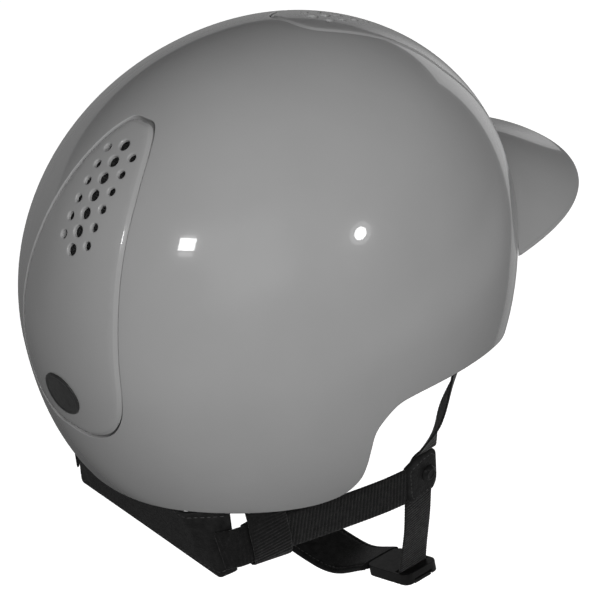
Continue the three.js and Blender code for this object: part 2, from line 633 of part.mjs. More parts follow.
// Wide padded guard under the chin, from the left strap's end to the buckle's tongue.
function chinPad() {
  const tongueEnd = bucklePoint(BUCKLE_LENGTH - TONGUE_INSERTION + TONGUE_LENGTH + GAP, 1);
  const route = new THREE.CatmullRomCurve3([
    vec(54.6, LOOP_Y, -184.2), vec(28, LOOP_Y, -195.5), vec(2, LOOP_Y, -198.5), vec(-22, LOOP_Y, -196.3),
    tongueEnd,
  ]);
  const steps = 20;
  const surface = (side) => (i, j) => {
    const t = j / steps;
    const swell = Math.sin(Math.min(t, 0.5) * Math.PI) ** 0.5;
    const taper = THREE.MathUtils.smoothstep(t, 0.6, 1);
    const width = WEBBING_WIDTH + (CHIN_PAD_WIDTH - WEBBING_WIDTH) * swell
      - (CHIN_PAD_WIDTH - CHIN_PAD_END_WIDTH) * taper;
    const thickness = WEBBING_THICKNESS + (CHIN_PAD_THICKNESS - WEBBING_THICKNESS) * swell;
    const across = vec(...STRAIGHT_ACROSS).lerp(BUCKLE_ACROSS, t ** 3).normalize();
    const normal = route.getTangent(t).cross(across).normalize();
    const centre = route.getPoint(t).addScaledVector(across, (i / 2 - 0.5) * width);
    return centre.addScaledVector(normal, (side * thickness) / 2);
  };
  return sheetSolid(surface(1), surface(-1), 2, steps);
}

// Length adjuster round the straight stretch of the left strap.
const SLIDER = { z: -134, width: 27, height: 14, thickness: 5.4 };

function chinSlider() {
  const frame = roundedPlate(SLIDER.width, SLIDER.height, 2.5, SLIDER.thickness);
  frame.translate(0, 0, -SLIDER.thickness / 2);
  const slot = new THREE.BoxGeometry(WEBBING_WIDTH + 1.2, SLIDER.height + 4, WEBBING_THICKNESS + 1.2);
  const centre = vec(-CHIN_STRAP_X + STRAP_SLOPE * (SLIDER.z + 106), LOOP_Y, SLIDER.z);
  return place(cut(frame, [slot]), centre, vec(0, 1, 0), vec(STRAP_SLOPE, 0, 1).normalize());
}

// ---- buckle: local frame with +X from the housing's outer tip inwards, +Z towards the chin -----------

const BUCKLE_TURN = new THREE.Euler(BUCKLE_ROLL, BUCKLE_TILT, 0, 'YXZ');
const BUCKLE_ACROSS = vec(0, 1, 0).applyEuler(BUCKLE_TURN);
const bucklePoint = (along, up) => vec(along, 0, up).applyEuler(BUCKLE_TURN).add(BUCKLE_TIP);

const LEVER_PIN = { x: 19, z: -1.8, radius: 0.9, length: 20 };
const LEVER_WIDTH = 12;
const LEVER_BOTTOM = -3.6;

function buckleHousing() {
  const body = roundedPlate(BUCKLE_LENGTH, BUCKLE_WIDTH, 5, BUCKLE_THICKNESS);
  body.translate(BUCKLE_LENGTH / 2, 0, -BUCKLE_THICKNESS / 2);
  const box = (x0, x1, width, z0, z1) =>
    new THREE.BoxGeometry(x1 - x0, width, z1 - z0).translate((x0 + x1) / 2, 0, (z0 + z1) / 2);
  const tools = [
    box(BUCKLE_LENGTH - TONGUE_INSERTION - 1, BUCKLE_LENGTH + 1, TONGUE_WIDTH + 0.8, 0,
      TONGUE_THICKNESS + 0.6),
    box(-1, LEVER_PIN.x + 3, LEVER_WIDTH + 0.8, -BUCKLE_THICKNESS, -0.6),
    box(LEVER_PIN.x - 6, LEVER_PIN.x + 3, LEVER_WIDTH + 0.8, -1, 0.5),
    drill(vec(LEVER_PIN.x, 0, LEVER_PIN.z), vec(0, 1, 0), LEVER_PIN.radius + 0.05,
      LEVER_PIN.length + 0.6, 10),
    new THREE.BoxGeometry(3.8, WEBBING_WIDTH + 1.2, 5).rotateY(0.18).translate(BUCKLE_SLOT, 0, 2.8),
  ];
  return cut(body, tools);
}

// Flexible toothed tongue that slides into the housing from the chin pad's end.
function buckleTongue() {
  const start = BUCKLE_LENGTH - TONGUE_INSERTION;
  const shape = new THREE.Shape();
  const top = TONGUE_THICKNESS + GAP;
  shape.moveTo(start + 1, GAP).lineTo(start + TONGUE_LENGTH, GAP).lineTo(start + TONGUE_LENGTH, top);
  shape.lineTo(start, top).lineTo(start, GAP + 0.8);
  const tongue = new THREE.ExtrudeGeometry(shape, { depth: TONGUE_WIDTH, bevelEnabled: false });
  tongue.rotateX(Math.PI / 2).translate(0, TONGUE_WIDTH / 2, 0);
  const teeth = Array.from({ length: 7 }, (_, i) => new THREE.BoxGeometry(0.9, TONGUE_WIDTH - 4, 0.6)
    .rotateY(0.5).translate(start + 3.2 + i * 2.2, 0, GAP));
  return cut(tongue, teeth);
}

// Lever under the housing: pawl near its pin, pull tab at the outer tip.
function releaseLever() {
  const shape = new THREE.Shape();
  const { x, z, radius } = LEVER_PIN;
  const boss = 1.5;
  shape.moveTo(x + boss, z).absarc(x, z, boss, 0, Math.PI / 2, false).lineTo(x - 2.4, z + boss - 0.4);
  shape.lineTo(x - 3.2, -0.3).lineTo(x - 5, -1.1).lineTo(3, -1.4).lineTo(0.6, -2).lineTo(0.6, LEVER_BOTTOM);
  shape.lineTo(x - 1, LEVER_BOTTOM).lineTo(x + boss, z);
  const options = { depth: LEVER_WIDTH, bevelEnabled: false, curveSegments: 3 };
  const lever = new THREE.ExtrudeGeometry(shape, options);
  lever.rotateX(Math.PI / 2).translate(0, LEVER_WIDTH / 2, 0);
  return cut(lever, [drill(vec(x, 0, z), vec(0, 1, 0), radius + 0.1, LEVER_WIDTH + 2, 10)]);
}

const leverPin = () =>
  drill(vec(LEVER_PIN.x, 0, LEVER_PIN.z), vec(0, 1, 0), LEVER_PIN.radius, LEVER_PIN.length, 10);

// ---- assembly ----------------------------------------------------------------------------------------

function mesh(name, geometry, material) {
  const [roughness, metalness] = FINISHES[material];
  const part = new THREE.Mesh(geometry, new THREE.MeshStandardMaterial({
    color: COLOURS[material], roughness, metalness,
  }));
  part.name = name;
  return part;
}

function bothSides(name, geometry, material) {
  return [mesh(`${name}_right`, geometry, material), mesh(`${name}_left`, mirrored(geometry), material)];
}

function buckleGroup() {
  const group = new THREE.Group();
  group.position.copy(BUCKLE_TIP);
  group.rotation.copy(BUCKLE_TURN);
  group.add(
    mesh('buckle_housing', buckleHousing(), 'plastic'),
    mesh('buckle_tongue', buckleTongue(), 'plastic'),
    mesh('release_lever', releaseLever(), 'plastic'),
    mesh('lever_pin', leverPin(), 'steel'),
  );
  return group;
}

const helmet = new THREE.Group();
helmet.add(
  mesh('outer_shell', outerShell(), 'lacquer'),
  mesh('rear_vent_panel', ventPanel(REAR_PANEL, rearPoint, REAR_VENT_START), 'lacquer'),
  mesh('front_vent_panel', ventPanel(FRONT_PANEL, frontPoint, FRONT_VENT_START), 'lacquer'),
  mesh('rear_vent_mesh', ventMesh(rearSlot(SLOT_MARGIN - 0.6), rearPoint), 'mesh'),
  mesh('front_vent_mesh', ventMesh(frontSlot(SLOT_MARGIN - 0.6), frontPoint), 'mesh'),
  mesh('rear_badge', rearBadge(), 'badge'),
  mesh('peak', peak(), 'lacquer'),
  ...peakScrewSites().map((site, i) => mesh(`peak_screw_${SCREW_NAMES[i]}`, peakScrew(site), 'steel')),
  mesh('shock_liner', shockLiner(), 'foam'),
  mesh('brow_pad', comfortPad(-140, -40, 4, 4, 12), 'lining'),
  ...bothSides('side_pad', comfortPad(145, 210, 5, 22, 8), 'lining'),
  mesh('rear_pad', comfortPad(50, 130, 4, 6, 10), 'lining'),
  mesh('crown_pad', crownPad(), 'lining'),
  ...bothSides('front_strap', frontStrap(), 'webbing'),
  ...bothSides('rear_strap', rearStrap(), 'webbing'),
  ...bothSides('rear_loop', rearLoop(), 'webbing'),
  ...bothSides('front_anchor', anchorPlate(ANCHORS.front), 'steel'),
  ...bothSides('rear_anchor', anchorPlate(ANCHORS.rear), 'steel'),
  ...bothSides('nape_tab', napeTab(), 'webbing'),
  mesh('nape_pad', napePad(), 'leather'),
  ...bothSides('side_junction', sideJunction(), 'leather'),
  ...bothSides('junction_snap', junctionSnap(), 'plastic'),
  mesh('chin_strap_right', chinStrapRight(), 'webbing'),
  mesh('chin_strap_left', chinStrapLeft(), 'webbing'),
  mesh('chin_pad', chinPad(), 'leather'),
  mesh('chin_slider', chinSlider(), 'plastic'),
  buckleGroup(),
);

export default helmet;
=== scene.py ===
import json
import math

import bmesh
import bpy
import numpy as np
from mathutils import Matrix, Vector, geometry
from mathutils.kdtree import KDTree

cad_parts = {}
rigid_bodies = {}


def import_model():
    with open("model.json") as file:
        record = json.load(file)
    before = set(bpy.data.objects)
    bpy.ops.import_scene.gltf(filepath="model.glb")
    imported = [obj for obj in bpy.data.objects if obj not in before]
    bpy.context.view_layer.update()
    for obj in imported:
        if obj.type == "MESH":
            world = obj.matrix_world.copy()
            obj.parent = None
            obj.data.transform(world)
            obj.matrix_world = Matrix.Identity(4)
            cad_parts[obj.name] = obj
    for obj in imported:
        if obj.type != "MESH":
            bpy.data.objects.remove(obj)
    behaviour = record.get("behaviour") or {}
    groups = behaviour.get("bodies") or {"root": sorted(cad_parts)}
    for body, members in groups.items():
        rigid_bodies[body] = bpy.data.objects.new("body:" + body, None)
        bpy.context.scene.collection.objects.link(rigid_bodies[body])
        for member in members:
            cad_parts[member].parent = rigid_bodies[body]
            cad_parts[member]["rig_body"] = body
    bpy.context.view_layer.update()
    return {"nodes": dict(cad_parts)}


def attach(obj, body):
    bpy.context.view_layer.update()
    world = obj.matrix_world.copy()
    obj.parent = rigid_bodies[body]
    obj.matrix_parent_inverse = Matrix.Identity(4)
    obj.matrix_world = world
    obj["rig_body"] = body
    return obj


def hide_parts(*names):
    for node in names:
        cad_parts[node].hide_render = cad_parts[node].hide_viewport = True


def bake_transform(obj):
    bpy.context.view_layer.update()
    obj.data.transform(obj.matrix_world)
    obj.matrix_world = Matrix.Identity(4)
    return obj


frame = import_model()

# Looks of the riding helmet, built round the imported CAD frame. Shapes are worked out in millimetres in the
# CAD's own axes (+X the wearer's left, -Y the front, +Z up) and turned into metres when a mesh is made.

MM = 0.001

# ---- the CAD's driving dimensions ---------------------------------------------------------------------

HALF_WIDTH = 106
HALF_LENGTH = 132.5
CROWN_HEIGHT = 120.4
LOWER_HEIGHT = 133.2
UPPER_POWER = 2.064
LOWER_POWER = 2.249
SHELL_WALL = 3
GAP = 0.3

# Rim in side view, from forehead to nape: [y, z].
RIM = [[-128, -46], [-110, -49], [-90, -50.5], [-72, -48], [-49, -38.5], [-31, -32.5], [-15, -28.3],
       [0, -25], [15, -22.5], [26, -22.3], [34, -27], [38.5, -33], [40.2, -43], [41, -52], [43, -62],
       [49.6, -69], [61, -70.2], [74, -68], [86, -65.3], [97, -63], [108, -61.5], [122, -62]]

# Vent panels, from top to bottom: rear [half width, z], front [half width, degrees up from the forehead].
REAR_PANEL = [[0, 106.5], [8.6, 105], [16.9, 96], [24.3, 78.9], [31.4, 49.8], [34.6, 24.2], [34.9, 9.1],
              [32.3, -2.6], [25.2, -12.5], [13.2, -17.9], [0, -18.5]]
FRONT_PANEL = [[0, 79.8], [12.9, 79], [21.3, 74.1], [31.1, 63.9], [39, 56.4], [47, 50.1], [52, 40.5],
               [55, 30], [53, 18], [42, 11.5], [22, 9.2], [0, 9]]
PANEL_THICKNESS = 1.6
PANEL_CLEARANCE = 1.011
RECESS_DEPTH = 2.1
NET_DEPTH = 2.6
NET_PITCH = 1.15
NET_WIRE = 0.42
VENT_PITCH = 8.36
VENT_SIDE_SPACING = 8.15
LARGE_VENT_RADIUS = 2.55
SMALL_VENT_RADIUS = 1.8
LARGE_VENT_COUNT = 7
REAR_VENT_START = 70.1
FRONT_VENT_START = 240.5
SLOT_MARGIN = 5

BADGE_X = 1.0
BADGE_HALF_WIDTH = 12
BADGE_HALF_HEIGHT = 10
BADGE_FACE = 0.72

PEAK_HALF_WIDTH = 78.1
PEAK_ROOT_Y = -91.3
PEAK_TIP_Y = -190.8
PEAK_PLAN_POWER = 2.6
PEAK_EDGE_HEIGHT = -13.05
PEAK_EDGE_RISE = 7
PEAK_ROOT_RISE = 27
PEAK_EDGE_THICKNESS = 2.2
PEAK_ROOT_THICKNESS = 8.5
PEAK_EDGE_POWER = 1.53
PEAK_ROOT_POWER = 1.9
PEAK_CROWN = 3

# ---- mesh building ------------------------------------------------------------------------------------


def unit(vectors):
    return vectors / np.linalg.norm(vectors, axis=-1, keepdims=True)


def square_to(axis):
    """Two directions square to an axis and to each other."""
    helper = [0, 1, 0] if abs(axis[1]) < 0.9 else [1, 0, 0]
    across = unit(np.cross(axis, helper))
    return across, np.cross(axis, across)


def travel_along(points):
    steps = np.linalg.norm(np.diff(points, axis=0), axis=1)
    return np.concatenate([[0], np.cumsum(steps)])


def respace(points, places, travel=None):
    """Values at given distances along a line: its points, or a row of values with the line's travel."""
    travel = travel_along(points) if travel is None else travel
    return np.stack([np.interp(places, travel, points[:, k]) for k in range(points.shape[1])], -1)


def even_loop(points, spacing):
    """A closed loop of points, respaced evenly at about a spacing."""
    closed = np.vstack([points, points[:1]])
    length = travel_along(closed)[-1]
    return respace(closed, np.linspace(0, length, int(round(length / spacing)), endpoint=False))


def enclosed(flat, starts, ends):
    """Which flat points are inside the closed lines made of edges from starts to ends."""
    inside = np.zeros(len(flat), bool)
    for a, b in zip(starts, ends):
        level = (a[1] > flat[:, 1]) != (b[1] > flat[:, 1])
        slope = (b[0] - a[0]) / (b[1] - a[1]) if b[1] != a[1] else 0
        inside ^= level & (flat[:, 0] < a[0] + slope * (flat[:, 1] - a[1]))
    return inside


def band(row, other, closed=True):
    """Four-sided faces between two rows of equally many points; closed rows join end to end."""
    row, other = ([*line, line[0]] if closed else line for line in (row, other))
    return [(row[i], row[i + 1], other[i + 1], other[i]) for i in range(len(row) - 1)]


class Skin:
    """Points in millimetres with a normal each, and the faces between them."""

    def __init__(self):
        self.points = np.empty((0, 3))
        self.normals = np.empty((0, 3))
        self.faces = []

    def add(self, points, normals):
        """Adds points and returns their numbers."""
        first = len(self.points)
        self.points = np.vstack([self.points, points])
        self.normals = np.vstack([self.normals, normals])
        return np.arange(first, len(self.points))

    def strips(self, rings):
        for ring, other in zip(rings, rings[1:]):
            self.faces += band(ring, other)

    def fill(self, rings, loose, flatten):
        """Triangles inside closed rings (holes included) through loose points, worked out on a flat map."""
        numbers = np.concatenate([*rings, loose])
        flat = flatten(self.points[numbers])
        edges, first = [], 0
        for ring in rings:
            size = len(ring)
            edges += [(first + i, first + (i + 1) % size) for i in range(size)]
            first += size
        made = geometry.delaunay_2d_cdt([Vector(p) for p in flat], edges, [], 0, 1e-6)
        corners = np.array([[made[3][corner][0] for corner in face] for face in made[2]])
        middles = flat[corners].mean(1)
        starts, ends = (flat[np.array(edges)[:, k]] for k in (0, 1))
        self.faces += [tuple(numbers[face]) for face in corners[enclosed(middles, starts, ends)]]

    def piece(self, name, material):
        """The finished object, its faces turned outwards and its normals as given."""
        item = mesh_piece(name, self.points, self.faces, material)
        item.data.normals_split_custom_set_from_vertices(unit(self.normals).tolist())
        return item


def mesh_piece(name, points, faces, material, sharp_angle=180, merge=False):
    """Mesh object from points in millimetres, faces turned outwards, smooth but for edges over an angle."""
    mesh = bpy.data.meshes.new(name)
    mesh.from_pydata((np.asarray(points) * MM).tolist(), [], [tuple(int(i) for i in f) for f in faces])
    turned = bmesh.new()
    turned.from_mesh(mesh)
    if merge:
        bmesh.ops.remove_doubles(turned, verts=turned.verts, dist=0.01 * MM)
    bmesh.ops.recalc_face_normals(turned, faces=turned.faces)
    turned.to_mesh(mesh)
    turned.free()
    mesh.shade_smooth()
    if sharp_angle < 180:
        mesh.set_sharp_from_angle(angle=math.radians(sharp_angle))
    item = bpy.data.objects.new(name, mesh)
    bpy.context.scene.collection.objects.link(item)
    item.data.materials.append(material)
    return item


# ---- the dome's surface -------------------------------------------------------------------------------


def plan_share(z, inset=0):
    """Share of the plan size that the dome has at a height: 1 at the widest level, 0 at the crown."""
    z = np.asarray(z, float)
    extent = np.where(z >= 0, CROWN_HEIGHT, LOWER_HEIGHT) - inset
    power = np.where(z >= 0, UPPER_POWER, LOWER_POWER)
    return np.maximum(0, 1 - (np.abs(z) / extent) ** power) ** (1 / power)


def half_depth(x, z, inset=0):
    """Distance of the dome from the plane y = 0 at a sideways distance and a height."""
    left = plan_share(z, inset) ** UPPER_POWER - (np.abs(x) / (HALF_WIDTH - inset)) ** UPPER_POWER
    return (HALF_LENGTH - inset) * np.maximum(0, left) ** (1 / UPPER_POWER)


def dome_point(bearing, z, inset=0):
    """Point at a bearing in radians (0 is the wearer's left, a quarter turn the back) and a height."""
    across = np.abs(np.cos(bearing) / (HALF_WIDTH - inset)) ** UPPER_POWER
    along = np.abs(np.sin(bearing) / (HALF_LENGTH - inset)) ** UPPER_POWER
    radius = (across + along) ** (-1 / UPPER_POWER) * plan_share(z, inset)
    return np.stack([radius * np.cos(bearing), radius * np.sin(bearing), z + 0 * radius], -1)


def over_point(x, degrees, inset=0):
    """Point of the upper dome at a sideways distance and an angle up from the forehead, over the crown."""
    angle = np.radians(degrees)
    share = (1 - (np.abs(x) / (HALF_WIDTH - inset)) ** UPPER_POWER) ** (1 / UPPER_POWER)
    bend = 2 / UPPER_POWER
    forward = np.sign(np.cos(angle)) * np.abs(np.cos(angle)) ** bend
    y = -(HALF_LENGTH - inset) * share * forward
    z = (CROWN_HEIGHT - inset) * share * np.abs(np.sin(angle)) ** bend
    return np.stack([x + 0 * y, y, z], -1)


def dome_level(points):
    """How far out points are (0 on the dome) and which way that grows."""
    x, y, z = np.moveaxis(points, -1, 0)
    height = np.where(z >= 0, CROWN_HEIGHT, LOWER_HEIGHT)
    power = np.where(z >= 0, UPPER_POWER, LOWER_POWER)
    plan = (np.abs(x) / HALF_WIDTH) ** UPPER_POWER + (np.abs(y) / HALF_LENGTH) ** UPPER_POWER
    plan = np.maximum(plan, 1e-12)
    level = plan ** (power / UPPER_POWER) + (np.abs(z) / height) ** power - 1
    scale = power * plan ** (power / UPPER_POWER - 1)
    slope_x = scale * np.sign(x) * np.abs(x) ** (UPPER_POWER - 1) / HALF_WIDTH ** UPPER_POWER
    slope_y = scale * np.sign(y) * np.abs(y) ** (UPPER_POWER - 1) / HALF_LENGTH ** UPPER_POWER
    slope_z = power * np.sign(z) * np.abs(z) ** (power - 1) / height ** power
    return level, np.stack([slope_x, slope_y, slope_z], -1)


def dome_normal(points):
    return unit(dome_level(points)[1])


def onto_dome(points):
    """Slides points along their rays from the centre onto the dome."""
    points = np.array(points, float)
    for _ in range(6):
        level, slope = dome_level(points)
        points *= (1 - level / (slope * points).sum(-1))[..., None]
    return points


def under(points, depth):
    """Points of the dome moved straight in by a depth."""
    return points - dome_normal(points) * depth


def spline_2d(points, count):
    """Uniform Catmull-Rom curve through flat points, ends held, at evenly spaced parameters."""
    points = np.array(points, float)
    places = np.linspace(0, len(points) - 1, count)
    first = np.minimum(places.astype(int), len(points) - 2)
    t = (places - first)[:, None]
    p0, p1 = points[np.maximum(first - 1, 0)], points[first]
    p2, p3 = points[first + 1], points[np.minimum(first + 2, len(points) - 1)]
    return 0.5 * (2 * p1 + (p2 - p0) * t + (2 * p0 - 5 * p1 + 4 * p2 - p3) * t ** 2
                  + (3 * p1 - p0 - 3 * p2 + p3) * t ** 3)


class Loop:
    """A closed line on the dome with its sideways direction, away from a point inside it."""

    def __init__(self, points, inside):
        along = unit(np.roll(points, -1, 0) - np.roll(points, 1, 0))
        self.points = points
        self.up = dome_normal(points)
        self.out = unit(np.cross(along, self.up))
        if (self.out * (points - inside)).sum() < 0:
            self.out = -self.out

    def follow(self, skin, profile):
        """Rings along the loop for a profile of [offset outwards, depth]; returns their point numbers."""
        profile = np.array(profile, float)
        tangents = np.gradient(profile, axis=0) * [1, -1]
        turn = 1 if tangents[0][0] > 0 else -1
        rings = []
        for (offset, depth), (across, up) in zip(profile, unit(tangents)):
            spots = under(onto_dome(self.points + self.out * offset), depth)
            rings.append(skin.add(spots, turn * (self.up * across - self.out * up)))
        return rings


def round_over(radius, steps, side):
    """Quarter round at the top of an edge, from the face (side times radius away) down to the wall."""
    turns = np.linspace(0, math.pi / 2, steps + 1)
    return [[side * radius * (1 - math.sin(t)), radius * (1 - math.cos(t))] for t in turns]


def mirrored_loop(half):
    """A closed loop from one that runs down the wearer's left, with its first and last points on x = 0."""
    return np.vstack([half, half[-2:0:-1] * [-1, 1, 1]])


# ---- shell and vent panels ----------------------------------------------------------------------------

RIM_SPACING = 2.4
OUTLINE_SPACING = 1.1
GRID_SPACING = 3.4
BELOW_PANELS = -30
MEAN_RADIUS = 118


def rim_loop(spacing):
    """The shell's rim: where the side view's curve meets the dome, on both sides."""
    samples = 4000
    y, z = spline_2d(RIM, samples).T
    sine = np.minimum(1, np.abs(y) / (HALF_LENGTH * plan_share(z)))
    x = (1 - sine ** UPPER_POWER) ** (1 / UPPER_POWER) * HALF_WIDTH * plan_share(z)
    half = np.stack([x, np.sign(y) * sine * HALF_LENGTH * plan_share(z), z], -1)
    on_line = np.flatnonzero(sine >= 1)
    front = on_line[on_line < samples / 2].max(initial=0)
    back = on_line[on_line >= samples / 2].min(initial=samples - 1)
    return Loop(even_loop(mirrored_loop(half[front:back + 1]), spacing), np.array([0, 0, CROWN_HEIGHT]))


def rear_spot(x, z):
    return np.stack([x + 0 * z, half_depth(x, z), z + 0 * x], -1)


def closed_outline(outline, spot, scale, spacing):
    """Loop on the dome from half an outline: mirrored, smoothed, scaled and respaced."""
    ring = outline + [[-x, level] for x, level in outline[-2:0:-1]]
    per_point, padding = 24, 3
    padded = ring[-padding:] + ring + ring[:padding]
    curve = spline_2d(padded, (len(padded) - 1) * per_point + 1)
    x, level = curve[padding * per_point:(padding + len(ring)) * per_point].T
    middle = (outline[0][1] + outline[-1][1]) / 2
    points = spot(x * scale, middle + (level - middle) * scale)
    return Loop(even_loop(points, spacing), points.mean(0))


# Line from the back of the widest level over the crown to the forehead.
CENTRE_LINE = over_point(np.zeros(1801), np.linspace(180, 0, 1801))


def on_centre_line(travel):
    return respace(CENTRE_LINE, travel)


def vent_holes(start):
    """Centre and radius of each vent hole: a row of large ones with small ones beside it."""
    large = [(k * VENT_PITCH, 0, LARGE_VENT_RADIUS) for k in range(LARGE_VENT_COUNT)]
    small = [((k + 0.5) * VENT_PITCH, side * VENT_SIDE_SPACING, SMALL_VENT_RADIUS)
             for k in range(LARGE_VENT_COUNT - 1) for side in (-1, 1)]
    holes = []
    for travel, x, radius in large + small:
        middle = on_centre_line(start + travel)
        y = np.sign(middle[1]) * half_depth(x, middle[2])
        holes.append((np.array([x, y, middle[2]]), radius))
    return holes


def circle_loop(centre, radius, count):
    across, along = square_to(dome_normal(centre))
    turns = np.linspace(0, 2 * math.pi, count, endpoint=False)[:, None]
    return Loop(onto_dome(centre + radius * (np.cos(turns) * across + np.sin(turns) * along)), centre)


def slot_loop(start, level_of, spot):
    """Slot through the shell under a row of vent holes."""
    first, last = start - SLOT_MARGIN, start + (LARGE_VENT_COUNT - 1) * VENT_PITCH + SLOT_MARGIN
    half_width = VENT_SIDE_SPACING + SMALL_VENT_RADIUS + 2
    outline = []
    for turn in np.linspace(0, math.pi, 9):
        travel = (first + last) / 2 - (last - first) / 2 * math.cos(turn)
        outline.append([half_width * max(0, math.sin(turn)) ** 0.4, level_of(on_centre_line(travel))])
    return closed_outline(outline, spot, 1, 2)


def front_level(point):
    bend = UPPER_POWER / 2
    return math.degrees(math.atan2((point[2] / CROWN_HEIGHT) ** bend, (-point[1] / HALF_LENGTH) ** bend))


PANELS = {
    "rear": {"outline": REAR_PANEL, "spot": rear_spot, "start": REAR_VENT_START,
             "level": lambda point: point[2]},
    "front": {"outline": FRONT_PANEL, "spot": over_point, "start": FRONT_VENT_START, "level": front_level},
}


def map_from_crown(points):
    """Flat map of the whole dome, seen from the crown, true to distance along each ray."""
    away = np.arccos(points[:, 2] / np.linalg.norm(points, axis=1)) * MEAN_RADIUS
    return away[:, None] * unit(points[:, :2] + 1e-9)


def map_side_view(points):
    """Flat map of the strip along the centre line: sideways distance, and turn about the X axis."""
    return np.stack([points[:, 0], MEAN_RADIUS * np.arctan2(points[:, 2], points[:, 1])], -1)


def dome_grid(spacing):
    """Even scatter of points over the dome in staggered rings from the crown down."""
    rows = []
    lowest_travel = 250
    for k in range(int(lowest_travel / spacing)):
        tilt = k * spacing / MEAN_RADIUS
        count = max(1, int(round(2 * math.pi * math.sin(tilt) * MEAN_RADIUS / spacing)))
        turns = (np.arange(count) + 0.5 * (k % 2)) * 2 * math.pi / count
        rows.append(np.stack([np.sin(tilt) * np.cos(turns), np.sin(tilt) * np.sin(turns),
                              np.cos(tilt) + 0 * turns], -1) * MEAN_RADIUS)
    return onto_dome(np.vstack(rows))


def clear_of(points, rings, distance):
    """The points that are at least a distance from every ring point."""
    edge = np.vstack(rings)
    tree = KDTree(len(edge))
    for i, point in enumerate(edge):
        tree.insert(point, i)
    tree.balance()
    return points[[tree.find(point)[2] > distance for point in points]]


def within(points, ring, flatten):
    """Which points are inside a ring, on a flat map."""
    corners = flatten(ring)
    return enclosed(flatten(points), corners, np.roll(corners, -1, 0))


def in_panel(points, loop):
    """Which points of the dome are inside a loop in the upper part, where the panels are."""
    return within(points, loop.points, map_side_view) & (points[:, 2] > BELOW_PANELS)


def outer_shell(material):
    """Shell with a rounded rim, and a sharp-edged recess and a slot for each vent panel.

    The grid's loose points keep 2 to 3 mm clear of the rings, so that no sliver faces form."""
    skin = Skin()
    rim = rim_loop(RIM_SPACING)
    edge_radius = 1.3
    over = round_over(edge_radius, 5, -1)
    lower_half = [[offset, SHELL_WALL - depth] for offset, depth in over[::-1]]
    rim_rings = rim.follow(skin, [[-2.2, 0], *over, *lower_half])
    skin.strips(rim_rings)
    grid = dome_grid(GRID_SPACING)
    grid = grid[within(grid, rim.points, map_from_crown)]
    outer_rings, inner_rings = [rim_rings[0]], [rim_rings[-1]]
    outer, inner = grid, grid[::3]
    for panel in PANELS.values():
        cutout = closed_outline(panel["outline"], panel["spot"], PANEL_CLEARANCE, OUTLINE_SPACING)
        rings = cutout.follow(skin, [[1.6, 0], *round_over(0.35, 3, 1), [0, RECESS_DEPTH]])
        skin.strips(rings)
        slot = slot_loop(panel["start"], panel["level"], panel["spot"])
        slot_rings = slot.follow(skin, [[0, RECESS_DEPTH], [0, SHELL_WALL]])
        skin.strips(slot_rings)
        floor = grid[in_panel(grid, cutout) & ~in_panel(grid, slot)]
        floor = clear_of(floor, [cutout.points, slot.points], 2)
        loose = skin.add(under(floor, RECESS_DEPTH), dome_normal(floor))
        skin.fill([rings[-1], slot_rings[0]], loose, map_side_view)
        outer = clear_of(outer[~in_panel(outer, cutout)], [skin.points[rings[0]]], 2.2)
        inner = clear_of(inner[~in_panel(inner, slot)], [slot.points], 3)
        outer_rings.append(rings[0])
        inner_rings.append(slot_rings[-1])
    outer = clear_of(outer, [skin.points[rim_rings[0]]], 2.4)
    inner = clear_of(inner, [skin.points[rim_rings[-1]]], 3)
    skin.fill(outer_rings, skin.add(outer, dome_normal(outer)), map_from_crown)
    skin.fill(inner_rings, skin.add(under(inner, SHELL_WALL), -dome_normal(inner)), map_from_crown)
    return skin.piece("shell", material)


# Section of a vent panel's border: face, shallow chamfer, rounded foot and wall.
PANEL_EDGE = [[-2.35, 0], [-2.1, 0.02], [-1.92, 0.08], [-0.45, 0.6], [-0.2, 0.76], [-0.05, 1], [0, 1.25],
              [0, PANEL_THICKNESS]]


def vent_panel(name, panel, material):
    """Perforated insert, flush with the shell, with a chamfered edge and countersunk holes."""
    skin = Skin()
    edge = closed_outline(panel["outline"], panel["spot"], 1, OUTLINE_SPACING)
    rings = edge.follow(skin, PANEL_EDGE)
    skin.strips(rings)
    front_rings, back_rings = [rings[0]], [rings[-1]]
    holes = vent_holes(panel["start"])
    for centre, radius in holes:
        hole = circle_loop(centre, radius, 28)
        hole_rings = hole.follow(skin, [[1.1, 0], *round_over(0.75, 5, 1), [0, PANEL_THICKNESS]])
        skin.strips(hole_rings)
        front_rings.append(hole_rings[0])
        back_rings.append(hole_rings[-1])
    grid = dome_grid(2.2)
    grid = grid[in_panel(grid, edge)]
    middles = np.array([centre for centre, _ in holes])
    grid = grid[np.linalg.norm(grid[:, None] - middles, axis=2).min(1) > LARGE_VENT_RADIUS + 1.6]
    grid = clear_of(grid, [skin.points[ring] for ring in front_rings], 1.3)
    skin.fill(front_rings, skin.add(grid, dome_normal(grid)), map_side_view)
    skin.fill(back_rings, skin.add(under(grid, PANEL_THICKNESS), -dome_normal(grid)), map_side_view)
    return skin.piece(name, material)


